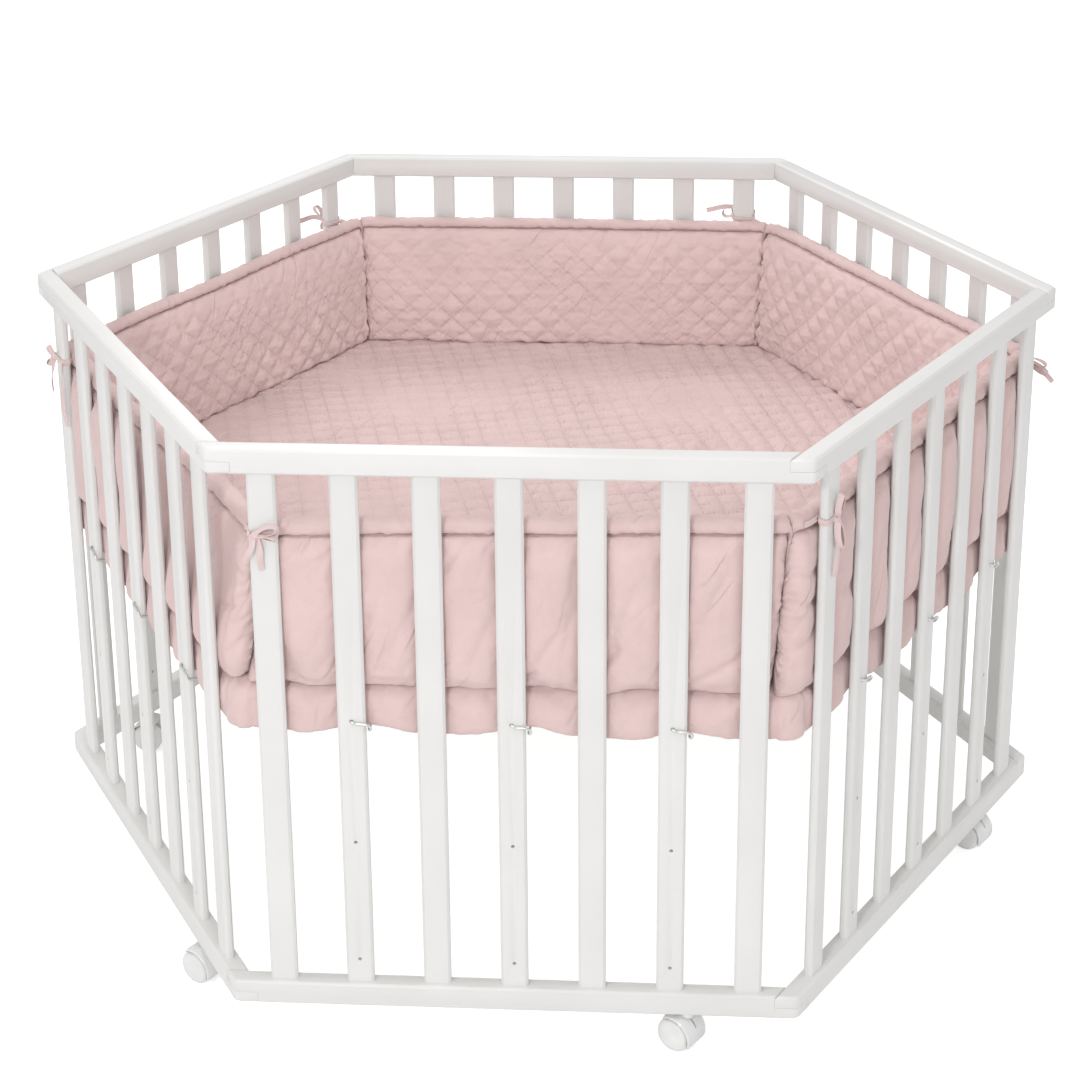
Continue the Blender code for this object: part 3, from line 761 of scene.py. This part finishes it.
floor_lines = (
    (math.cos(FLOOR_TURN) / FLOOR_QUILT, math.sin(FLOOR_TURN) / FLOOR_QUILT, 0.85),
    (-math.sin(FLOOR_TURN) / FLOOR_QUILT, math.cos(FLOOR_TURN) / FLOOR_QUILT, 0.30),
)
quilted_floor = cotton("quilted floor cotton", PINK, floor_lines, painted_pucker_shade=(-0.22, -0.36))
plain_cotton = cotton("plain cotton", PINK)


def pillow(first, second):
    """Height of a quilted cell: 0 on its stitched lines, 1 in its middle, with four soft faces."""
    a, b = abs((first % 1) - 0.5) * 2, abs((second % 1) - 0.5) * 2
    roof = max(0.0, 1 - (a ** 5 + b ** 5) ** 0.2)
    dome = (1 - a * a) * (1 - b * b)
    uneven = 1 + 0.22 * math.sin(12.9 * math.floor(first) + 78.2 * math.floor(second))
    return (0.62 * roof + 0.38 * dome) * uneven


def quilted_slab():
    """The floor of the mat: a hexagonal quilted pad between the walls."""
    reach = APOTHEM - 0.0465
    bm = bmesh.new()
    bmesh.ops.create_grid(bm, x_segments=352, y_segments=308, size=0.5,
                          matrix=Matrix.Diagonal((1.16, 1.02, 1, 1)))
    for k in range(SIDES):
        out = Vector((math.sin(k * math.pi / 3), -math.cos(k * math.pi / 3), 0))
        bmesh.ops.bisect_plane(
            bm, geom=[*bm.verts, *bm.edges, *bm.faces], plane_co=out * reach, plane_no=out,
            clear_outer=True, dist=1e-5,
        )
    layer = bm.loops.layers.uv.new("cloth")
    cloth = {}
    for vert in bm.verts:
        x, y = vert.co.x, vert.co.y
        u = x + 0.008 * rough(x * 3.1, y * 3.1, 4.0)
        v = y + 0.008 * rough(x * 2.7, y * 2.7, 9.0)
        cloth[vert] = (u, v)
        cell = pillow(*(u * a + v * b + c for a, b, c in floor_lines))
        edge = min(
            reach - (x * math.sin(k * math.pi / 3) - y * math.cos(k * math.pi / 3)) for k in range(SIDES)
        )
        calm = 0.22 + 0.78 * smoothstep(-0.25, 0.45, 1.1 * x - 0.7 * y + 0.25 * rough(x * 5, y * 5, 2.0))
        slack = smoothstep(-0.22, -0.36, y + 0.1 * rough(x * 4, y * 4, 6.0))
        calm += 1.0 * slack
        wave = 0.0022 * rough(x * 7, y * 7, 7.0) + 0.0007 * rough(x * 60, y * 75, 3.0)
        pull = 0.0016 * math.exp(-max(0.0, edge - 0.010) / 0.035) * rough(x * 26, y * 70, 5.0)
        wave += 0.0034 * slack * rough(x * 24, y * 80, 12.0)
        vert.co.z = FLOOR_Z + FLOOR_RELIEF * (cell - 0.2) * calm + wave * smoothstep(0.0, 0.03, edge) + pull
    for face in bm.faces:
        for loop in face.loops:
            loop[layer].uv = cloth[loop.vert]
    made = bmesh.ops.extrude_face_region(bm, geom=[*bm.verts, *bm.edges, *bm.faces], use_keep_orig=True)
    low = {v for v in made["geom"] if isinstance(v, bmesh.types.BMVert)}
    for vert in low:
        vert.co.z = UNDERSIDE_Z
    bottom = [face for face in bm.faces if all(vert in low for vert in face.verts)]
    bmesh.ops.dissolve_faces(bm, faces=bottom, use_verts=True)
    bmesh.ops.recalc_face_normals(bm, faces=bm.faces)
    return bm


# Each row: inset from the panels' outer faces, and height.
BASE_SECTION = (
    (0.0600, UNDERSIDE_Z), (0.0330, 0.3948), (0.0300, 0.3865), (0.0250, 0.3818), (0.0195, 0.3820),
    (0.0173, 0.3860), (0.0172, 0.3960), (0.0180, 0.4110), (0.0200, 0.4230), (0.0240, 0.4295),
    (0.0300, 0.4335), (0.0400, 0.4400), (0.0600, 0.4430),
)
BASE_ROWS = 34
BASE_COLUMNS = 600
base_section, base_marks = smooth_section(BASE_SECTION, BASE_ROWS)
SAG = 0.0100
HOOK_ARM = 0.0185


def rim_lift(s):
    """0 where the base's edge hangs free between the hooks, 1 where an arm holds it up."""
    s = on_one_side(s)
    return max(math.exp(-(((s - h * SLAT_PITCH - HOOK_ARM) / 0.034) ** 2)) for h in HOOKED_SLATS)


def base_edge(column, row):
    """One point of the base's rolled edge."""
    inset, z, _ = base_section[row % BASE_ROWS]
    total = 12 * HALF_SIDE * (column % BASE_COLUMNS) / BASE_COLUMNS
    k = int(total / (2 * HALF_SIDE))
    s = total - (2 * k + 1) * HALF_SIDE
    outer = smoothstep(0.031, 0.022, inset)
    low = smoothstep(0.402, 0.384, z)
    belly = smoothstep(0.4335, 0.398, z) * smoothstep(0.3770, 0.3835, z)
    inset -= outer * belly * (0.62 * LOBE * between_slats(s) * (0.95 + 0.14 * rough(total * 7, 1.5)))
    z += low * SAG * (rim_lift(s) - 0.10) + low * 0.0014 * rough(total * 20, 0.3)
    inset += outer * 0.0012 * rough(total * 40, z * 25, 5.0)
    uv_along = 12 * HALF_SIDE * column / BASE_COLUMNS
    held = 1.0 if inset > 0.026 or z > 0.4290 else 0.0
    return round_mat(k, s, inset, z), (uv_along, base_section[row][2]), held


def keep_off_slats(piece, sides, high):
    """Stops cloth at the slats' inner faces, and inside the panels' outer faces."""
    frames = [(side_matrix(k), side_matrix(k).inverted()) for k in sides]
    for vert in piece.data.vertices:
        for out, back in frames:
            p = back @ vert.co
            if abs(p.x) > SIDE / 2 or p.y > 0.020 or p.z > high:
                continue
            nearest = min(3, max(-3, round(p.x / SLAT_PITCH))) * SLAT_PITCH
            off = max(0.0, abs(p.x - nearest) - SLAT_HALF)
            least = 0.0050 + 0.0118 * hump(off, 0.0060)
            if p.y < least:
                p.y = least
                vert.co = out @ p


def base_relief(u, v, point):
    """Gathers under the walls' seam, soft folds and the seams at the corners of the rolled edge."""
    if v < base_marks[3] or v > base_marks[10]:
        return 0.0
    s = abs((u % (2 * HALF_SIDE)) - HALF_SIDE)
    down = base_marks[10] - v
    gather = 0.0014 * math.exp(-down / 0.010) * rough(u * 130, v * 25, 8.0)
    fold = 0.0009 * rough(u * 38, v * 14, 3.0) + 0.0005 * rough(u * 110, v * 60, 4.0)
    seam = -0.0016 * hump(s - (HALF_SIDE - 0.0185), 0.0022)
    return gather + fold + seam


rolled = cloth_skin("mat_base_edge", BASE_COLUMNS, BASE_ROWS, base_edge, plain_cotton)
swell([rolled], 2.2, 0.022, 0.0034, 12)
keep_off_slats(rolled, range(SIDES), 0.436)
made_fine(rolled)
work_cloth(rolled, base_relief)
slab = finished(quilted_slab(), "mat_base_floor", quilted_floor, 180)
for piece, fill in ((rolled, 0.5), (slab, 0.4)):
    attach(piece, "playpen")
    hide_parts("mat_base")


# ------------------------------------------------------------------ mat walls
# Six soft walls of the same cotton: plain outside, quilted in diamonds inside, with a narrow tunnel
# along the top. Each is filled, sewn to the base and gathered a little where it meets the next.

WALL_QUILT_WIDE = 0.0398
WALL_QUILT_HIGH = 0.0368
WALL_RELIEF = 0.0068
WALL_SECTION = (
    (0.0290, 0.4345), (0.0212, 0.4362), (0.0184, 0.4460), (0.0180, 0.4800), (0.0180, 0.5500),
    (0.0182, 0.5850), (0.0192, 0.6020), (0.0240, 0.6068), (0.0194, 0.6102), (0.0186, 0.6165),
    (0.0214, 0.6232), (0.0300, 0.6250), (0.0368, 0.6228), (0.0392, 0.6180), (0.0372, 0.6140),
    (0.0330, 0.6118), (0.0420, 0.6060), (0.0470, 0.5850), (0.0508, 0.5500), (0.0545, 0.4950),
    (0.0560, 0.4640), (0.0548, 0.4510), (0.0460, 0.4462), (0.0360, 0.4430),
)
WALL_ROWS = 96
WALL_COLUMNS = 100
WALL_FOOT_Z = 0.4345
WALL_RISE = 0.19
SEAM_GAP = 0.0002
TUNNEL_LAP = 0.0022
wall_section, wall_marks = smooth_section(WALL_SECTION, WALL_ROWS)
OUTER_SEAM, RIDGE, INNER_SEAM, FOOT = wall_marks[7], wall_marks[11], wall_marks[15], wall_marks[21]
wall_lines = (
    (1 / WALL_QUILT_WIDE, 1 / WALL_QUILT_HIGH, -FOOT / WALL_QUILT_HIGH),
    (1 / WALL_QUILT_WIDE, -1 / WALL_QUILT_HIGH, FOOT / WALL_QUILT_HIGH),
)
# Painted light: the quilted inside is 5% lighter than the plain cotton, to make up for the shade inside the
# pen.
quilted_wall = cotton(
    "quilted wall cotton", tuple(1.05 * c for c in PINK), wall_lines,
    (INNER_SEAM + 0.012, INNER_SEAM + 0.050),
)
wall_cotton = cotton("plain wall cotton", PINK, seams=(OUTER_SEAM, INNER_SEAM))

# How far each corner seam stands from the middle of its corner at the foot and at the top, and how
# it bends between them. TOP_LIFT is the height of the tunnels at each corner.
CORNER_SEAMS = (
    (-0.0230, -0.0060, 1.0), (0.0040, 0.0020, 1.0), (-0.0030, 0.0030, 1.0),
    (0.0020, -0.0020, 1.0), (0.0030, 0.0000, 1.0), (0.0040, 0.0380, 0.35),
)
TOP_LIFT = (0.0130, 0.0080, 0.0018, 0.0020, 0.0003, -0.0005)


def seam_shift(corner, z):
    foot, top, bend = CORNER_SEAMS[corner % SIDES]
    share = min(1.0, max(0.0, (z - WALL_FOOT_Z) / WALL_RISE))
    return foot + (top - foot) * share ** bend + 0.0012 * rough(z * 40, corner * 3.1)


# The wall at the front left leans in near its end, where the tie draws it to the front's first slat.
LEANING_WALL = 5
LEAN_TURN = LEANING_WALL * math.pi / 3
LEAN_WAY = Vector((-math.sin(LEAN_TURN), math.cos(LEAN_TURN), 0))


def lean_in(k, s, z):
    """How far the leaning wall and the start of the next one stand in from the panel."""
    if k == LEANING_WALL:
        along = s
    elif k == 0 and s < 0:
        along = s + 2 * HALF_SIDE
    else:
        return Vector((0, 0, 0))
    turned = min(math.pi / 3, max(0.0, (along - CORNER_START) / TURN_RADIUS))
    depth = TURN_RADIUS * (math.cos(turned) - 0.5) * smoothstep(-0.15, 0.20, along)
    return LEAN_WAY * depth * smoothstep(0.45, 0.56, z)


# Each row: side, along, height, angle from level, half length, depth and width of a soft fold.
OUTER_FOLDS = (
    (0, -0.1460, 0.5310, 75, 0.022, 0.0030, 0.0045),
    (0, -0.1150, 0.5050, 64, 0.045, 0.0018, 0.0060),
    (0, -0.0620, 0.5860, 62, 0.018, 0.0034, 0.0032),
    (0, -0.0300, 0.4950, 66, 0.045, 0.0020, 0.0060),
    (0, 0.0330, 0.4800, 58, 0.030, 0.0032, 0.0045),
    (0, 0.0180, 0.4520, 35, 0.012, 0.0040, 0.0045),
    (0, 0.0640, 0.5500, 84, 0.060, 0.0020, 0.0055),
    (0, 0.1130, 0.5100, 70, 0.050, 0.0026, 0.0055),
    (0, 0.1060, 0.4790, 55, 0.012, 0.0034, 0.0035),
    (0, 0.2030, 0.5300, 66, 0.050, 0.0022, 0.0060),
    (0, 0.2120, 0.4640, 32, 0.034, 0.0036, 0.0045),
    (0, -0.2140, 0.6010, 60, 0.012, 0.0026, 0.0030),
    (1, -0.2800, 0.5700, -6, 0.022, 0.0030, 0.0050),
    (1, -0.2750, 0.5350, -14, 0.024, 0.0034, 0.0050),
    (1, -0.2780, 0.4950, 20, 0.022, 0.0030, 0.0050),
    (1, -0.2120, 0.5290, -24, 0.030, 0.0046, 0.0080),
    (1, -0.1270, 0.5400, 70, 0.040, 0.0024, 0.0060),
    (1, -0.0420, 0.5200, 60, 0.040, 0.0024, 0.0060),
    (5, 0.2850, 0.5650, -20, 0.022, 0.0030, 0.0040),
    (5, 0.2780, 0.5150, 26, 0.022, 0.0034, 0.0040),
    (5, 0.2790, 0.5250, 88, 0.070, 0.0045, 0.0060),
    (5, 0.3046, 0.5350, 24, 0.016, 0.0034, 0.0034),
    (5, 0.3106, 0.5520, 30, 0.014, 0.0028, 0.0030),
    (5, 0.3030, 0.5080, 28, 0.014, 0.0030, 0.0030),
    (5, 0.3000, 0.4800, 42, 0.016, 0.0032, 0.0034),
)
folds_of = [[row[1:] for row in OUTER_FOLDS if row[0] == k] for k in range(SIDES)]


def outer_folds(k, s, z):
    """Depth of the listed folds in the outer cloth."""
    depth = 0.0
    for at, height, angle, half, deep, wide in folds_of[k]:
        c, n = math.cos(math.radians(angle)), math.sin(math.radians(angle))
        along, across = (s - at) * c + (z - height) * n, (z - height) * c - (s - at) * n
        if abs(along) < 1.6 * half and abs(across) < 3 * wide:
            depth += deep * hump(across, wide) * smoothstep(1.5 * half, 0.5 * half, abs(along))
    return depth


def wall_skin(k):
    """The place function of one wall."""
    seed = 10.0 * k

    def place(column, row):
        inset, z, reach = wall_section[row % WALL_ROWS]
        share = column / WALL_COLUMNS
        tunnel = OUTER_SEAM < reach < INNER_SEAM
        gap = -TUNNEL_LAP if tunnel else SEAM_GAP
        start = -HALF_SIDE + seam_shift(k - 1, z) + gap
        end = HALF_SIDE + seam_shift(k, z) - gap
        s = start + (end - start) * share
        from_end = min(share, 1 - share) * (end - start)
        outside = reach < RIDGE
        middle = 0.0375 if z < 0.60 else 0.0295
        pinch = 0.0040 if tunnel else 0.0060 if outside else 0.0050
        narrow = 1 - (0.14 if tunnel else 0.50 if outside else 0.62) * hump(from_end, pinch)
        height = smoothstep(WALL_FOOT_Z, 0.4560, z) * smoothstep(0.6080, 0.5880, z)
        bulge = 0.0
        if outside and not tunnel:
            lobe = LOBE * between_slats(s) * (0.86 + 0.26 * rough(s * 8, z * 13, seed))
            bulge = height * (lobe + 0.0016 * rough(s * 22 + z * 9, z * 7 - s * 3, seed + 2))
        elif not outside and not tunnel:
            bulge = height * 0.0028 * rough(s * 9, z * 6, seed + 6)
        else:
            bulge = 0.0008 * rough(s * 60, inset * 90, seed + 9)
        inset = middle + (inset - middle) * narrow
        inset += (-1 if outside else 1) * bulge * narrow
        lift = TOP_LIFT[k - 1] + (TOP_LIFT[k] - TOP_LIFT[k - 1]) * share
        lift += 0.0014 * rough(s * 8, 0.5, seed + 12) * smoothstep(0.0, 0.05, from_end)
        z += lift * smoothstep(0.50, 0.62, z)
        z -= 0.0012 * smoothstep(0.55, 0.62, z) * hump(from_end, 0.006)
        if outside:
            z += 0.0034 * smoothstep(0.475, 0.440, z) * rough(s * 18, 0.2, seed + 13)
        else:
            z += 0.0024 * smoothstep(0.480, 0.452, z) * rough(s * 42, 0.8, seed + 13)
        seams = (OUTER_SEAM, INNER_SEAM, FOOT)
        sewn = min(abs(reach - seam) for seam in seams) < 0.0032 or reach > FOOT or reach < wall_marks[1]
        held = 1.0 if sewn or tunnel or from_end < 0.004 else 0.0 if outside else 0.4
        u = s + (0.0 if outside else 0.0035 * rough(s * 8, z * 8, seed + 1))
        v = wall_section[row][2] + (0.0 if outside else 0.0035 * rough(s * 7, z * 9, seed + 3) * height)
        return round_mat(k, s, inset, z) + lean_in(k, s, z), (u, v), held

    return place


def wall_relief(k):
    """The relief function of one wall: quilting inside, folds and gathers outside."""
    seed = 10.0 * k

    def relief(u, v, point):
        z = point.z
        start, end = -HALF_SIDE + seam_shift(k - 1, z), HALF_SIDE + seam_shift(k, z)
        from_end = max(0.0, min(u - start, end - u))
        ends = math.exp(-from_end / 0.009)
        ruche = 0.0022 * ends * (abs(math.sin(z * 330 + 2.2 * rough(z * 60, seed))) - 0.5)
        ruche += 0.0012 * ends * rough(z * 170, u * 40, seed + 11)
        if v <= wall_marks[1] or v > wall_marks[22]:
            return 0.0
        if v < OUTER_SEAM:
            under = OUTER_SEAM - v
            above = v - wall_marks[1]
            lean = u * 0.87 - z * 0.50
            along = z * 0.87 + u * 0.50
            soft = rough(lean * 21, along * 5, seed + 2)
            sharp = max(0.0, 1 - abs(rough(lean * 26, along * 6, seed + 5)) * 4.5)
            patch = smoothstep(-0.2, 0.5, rough(u * 9, z * 11, seed + 7))
            folds = 0.0013 * soft - 0.0011 * sharp * sharp * patch
            puckers = 0.0013 * math.exp(-under / 0.009) * rough(u * 125, v * 22, seed + 4)
            puckers += 0.0011 * math.exp(-above / 0.008) * rough(u * 105, v * 22, seed + 6)
            groove = -0.0026 * hump(under, 0.0020)
            fine = 0.00035 * rough(u * 150, v * 90, seed + 8)
            return folds + puckers + groove + fine + ruche - outer_folds(k, u, z)
        if v < INNER_SEAM:
            low = min(v - OUTER_SEAM, INNER_SEAM - v)
            gather = (0.0010 + 0.0008 * math.exp(-low / 0.006)) * rough(u * 115 + v * 60, v * 70, seed + 8)
            return gather - 0.0034 * hump(low, 0.0022) + 0.6 * ruche
        height = FOOT - v
        down = v - INNER_SEAM
        cell = pillow(*(u * a + v * b + c for a, b, c in wall_lines))
        calm = 0.45 + 0.55 * smoothstep(-0.60, 0.20, rough(u * 4.5, v * 8, seed + 5))
        calm *= 0.22 + 0.78 * smoothstep(0.010, 0.036, down)
        wrinkle = 0.0007 * rough(u * 60, v * 190, seed + 14)
        gather = 0.0012 * (math.exp(-down / 0.010) + math.exp(-max(0.0, height) / 0.010)) * rough(
            u * 110, v * 30, seed + 7
        )
        groove = -0.0032 * hump(down, 0.0022)
        inside = smoothstep(-0.004, 0.008, height)
        return inside * (WALL_RELIEF * (cell - 0.22) * calm + wrinkle) + gather + groove + 0.8 * ruche

    return relief


walls = [
    cloth_skin(f"wall_{k + 1}", WALL_COLUMNS, WALL_ROWS, wall_skin(k), wall_cotton) for k in range(SIDES)
]
swell(walls, 2.6, 0.025, 0.0036)
for k, wall in enumerate(walls):
    keep_off_slats(wall, (k - 1, k, k + 1), 0.618)
    made_fine(wall)
    work_cloth(wall, wall_relief(k))
    wall.data.materials.append(quilted_wall)
    cloth = wall.data.uv_layers["cloth"].uv
    for face in wall.data.polygons:
        across = [cloth[i].vector.y for i in face.loop_indices]
        if min(across) > INNER_SEAM - 1e-4 and max(across) < wall_marks[22]:
            face.material_index = 1
    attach(wall, "playpen")
    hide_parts(f"mat_wall_{k + 1}")


# ------------------------------------------------------------------ ribbon ties
# Narrow ties of the same pink cotton, folded and stitched flat. Each is sewn into a corner of the
# mat's tunnel, goes once round the next panel's first slat and is knotted in a small loose bow.

TIE_Z = 0.6165
TIE_WIDTH = 0.0068
TIE_THICK = 0.0007

ribbon_cotton = cotton("ribbon cotton", (0.77, 0.60, 0.585))

# Each row: the knot's place from the slat's middle, how far the band is lifted at the mat and then
# at the knot, how far the bow stands out, its loops as (angle, length, fatness) and its free ends as
# (start, angle, length, drift). Angles are in degrees from level.
TIES = (
    (-0.0090, 0.0, 0.0, 0.0, ((20, 0.027, 0.20), (-8, 0.024, 0.10)),
     ((-0.0095, -104, 0.031, 0.0), (-0.0075, -78, 0.036, 0.0))),
    (0.0040, 0.0120, -0.0030, 0.0, ((86, 0.027, 0.16), (-84, 0.033, 0.14)),
     ((0.0060, -70, 0.040, 0.0), (0.0045, -95, 0.060, 0.004))),
    (-0.0050, 0.0, -0.0100, 0.45, ((196, 0.025, 0.22), (216, 0.030, 0.16)),
     ((-0.0050, 213, 0.040, 0.0), (-0.0040, -100, 0.018, 0.0))),
    (0.0060, 0.0095, 0.0125, 0.05, ((-26, 0.025, 0.30), (168, 0.017, 0.20)),
     ((0.0060, 2, 0.046, 0.0), (0.0040, -84, 0.022, 0.0))),
    (0.0060, 0.0095, 0.0070, 0.34, ((72, 0.018, 0.30), (172, 0.016, 0.20)),
     ((0.0100, 14, 0.034, 0.0), (0.0040, -96, 0.018, 0.0))),
    (-0.0150, 0.0, 0.0, 0.0, ((125, 0.014, 0.20), (-130, 0.018, 0.20)),
     ((-0.0160, -106, 0.048, 0.003), (0.0160, -86, 0.072, 0.004))),
)


def add_strip(bm, layer, points, faces_out, width=TIE_WIDTH, closed=False):
    """Adds one flat strip through points, its face turned towards the given directions."""
    rows, across = len(points) - 1, 4
    made = bmesh.ops.create_grid(bm, x_segments=rows, y_segments=across, size=0.5)
    reach = reaches(points)
    for vert in made["verts"]:
        i = round((vert.co.x + 0.5) * rows)
        j = vert.co.y
        if closed:
            ahead, behind = points[(i + 1) % rows], points[(i - 1) % rows]
        else:
            ahead, behind = points[min(i + 1, rows)], points[max(i - 1, 0)]
        along = (ahead - behind).normalized()
        side = along.cross(faces_out[i]).normalized()
        cup = faces_out[i].normalized() * (0.0006 * (1 - 4 * j * j))
        vert.co = points[i] + side * (width * j) + cup
        for loop in vert.link_loops:
            loop[layer].uv = (reach[i], j * width)
    return reach[-1]


def smooth_route(points, steps):
    """A smooth open curve through points, with this many steps between each pair."""
    route = []
    last = len(points) - 1
    for i in range(last):
        near = points[max(i - 1, 0)], points[i], points[i + 1], points[min(i + 2, last)]
        route += [between(*near, step / steps) for step in range(steps)]
    return route + [points[-1]]


def upright_turn(degrees):
    """The directions along and across a ribbon that leaves the knot at this angle from level."""
    c, n = math.cos(math.radians(degrees)), math.sin(math.radians(degrees))
    return Vector((c, 0, n)), Vector((-n, 0, c))


def tie_strips(k, knot_u, lift, rise, lean, loops, ends):
    """The whole tie in its slat's own frame, and the length of ribbon in it."""
    bm = bmesh.new()
    layer = bm.loops.layers.uv.new("cloth")
    length = 0.0
    grow, w, c = 0.0010, SLAT_HALF, 0.003
    near, far = SLAT_FACE - grow, SLAT_FACE + 0.010 + grow
    ring = [(-w + c, near), (w - c, near), (w + grow, near + c), (w + grow, far - c), (w - c, far),
            (-w + c, far), (-w - grow, far - c), (-w - grow, near + c), (-w + c, near)]
    low, high = TIE_Z + lift, TIE_Z + lift + rise
    band = [
        Vector((x, y, low + (high - low) * (far - y) / (far - near) + 0.0008 * math.sin(40 * x)))
        for x, y in ring
    ]
    out = [Vector((p.x * 0.35, p.y - SLAT_FACE - 0.005, 0)).normalized() for p in band]
    length += add_strip(bm, layer, band, out, closed=True)
    knot = Vector((knot_u, near - 0.0014, high))
    for angle, size, fat in loops:
        ahead, side = upright_turn(angle)
        shape = ((0, 0), (0.45, -0.8), (0.85, -0.75), (1, 0), (0.85, 0.75), (0.45, 0.8), (0, 0))
        points = [
            knot + ahead * size * r + side * size * fat * t
            + Vector((0, -0.0008 - (0.004 + lean * size) * r, 0))
            for r, t in shape
        ]
        faces = [side * t + ahead * (r - 0.5) + Vector((0, -0.25, 0)) for r, t in shape]
        length += add_strip(bm, layer, smooth_route(points, 5), smooth_route(faces, 5))
    for start, angle, size, drift in ends:
        ahead, side = upright_turn(angle)
        points, faces = [], []
        for step in range(9):
            t = step / 8
            stand = -0.0008 - 0.0036 * math.sin(2.7 * t) - lean * size * t
            points.append(
                Vector((start, near, high)) + ahead * size * t + Vector((0, stand, -0.1 * size * t * t))
                + side * (0.0016 * math.sin(5 * t) + drift * t * t)
            )
            faces.append(Vector((0.55 * math.sin(4.2 * t + start * 300), -1, 0.2 * math.cos(3 * t))))
        length += add_strip(bm, layer, smooth_route(points, 3), smooth_route(faces, 3))
    inner = far + 0.0004
    drop = TIE_Z + TOP_LIFT[k - 1] - 0.001 - low
    sewn = [Vector((-w + 0.002, inner, low)), Vector((-w - 0.004, inner + 0.0002, low + 0.4 * drop)),
            Vector((-w - 0.0135, inner + 0.0012, low + 0.95 * drop)),
            Vector((-w - 0.020, inner + 0.0030, low + drop))]
    back = side_matrix(k).inverted().to_3x3()
    sewn = [p + back @ lean_in(k, p.x - LAST_SLAT, p.z) for p in sewn]
    length += add_strip(bm, layer, smooth_route(sewn, 4), [Vector((0, 1, 0))] * 13)
    wrap = [
        knot + Vector((0.0034 * math.sin(t), -0.0026 * math.cos(t) + 0.0006, 0.0012 * math.sin(2 * t)))
        for t in (i * math.pi / 8 for i in range(17))
    ]
    faces = [point - knot + Vector((0, 1e-4, 0)) for point in wrap]
    length += add_strip(bm, layer, wrap, faces, width=0.0064, closed=True)
    bmesh.ops.recalc_face_normals(bm, faces=bm.faces)
    bmesh.ops.solidify(bm, geom=bm.faces, thickness=TIE_THICK)
    return bm, length


for k, row in enumerate(TIES):
    bm, length = tie_strips(k, *row)
    bm.transform(side_matrix(k) @ Matrix.Translation((-LAST_SLAT, 0, 0)))
    tie = finished(bm, f"tie_{k + 1}", ribbon_cotton, 50)
    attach(tie, "playpen")
    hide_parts(f"ribbon_tie_{k + 1}")
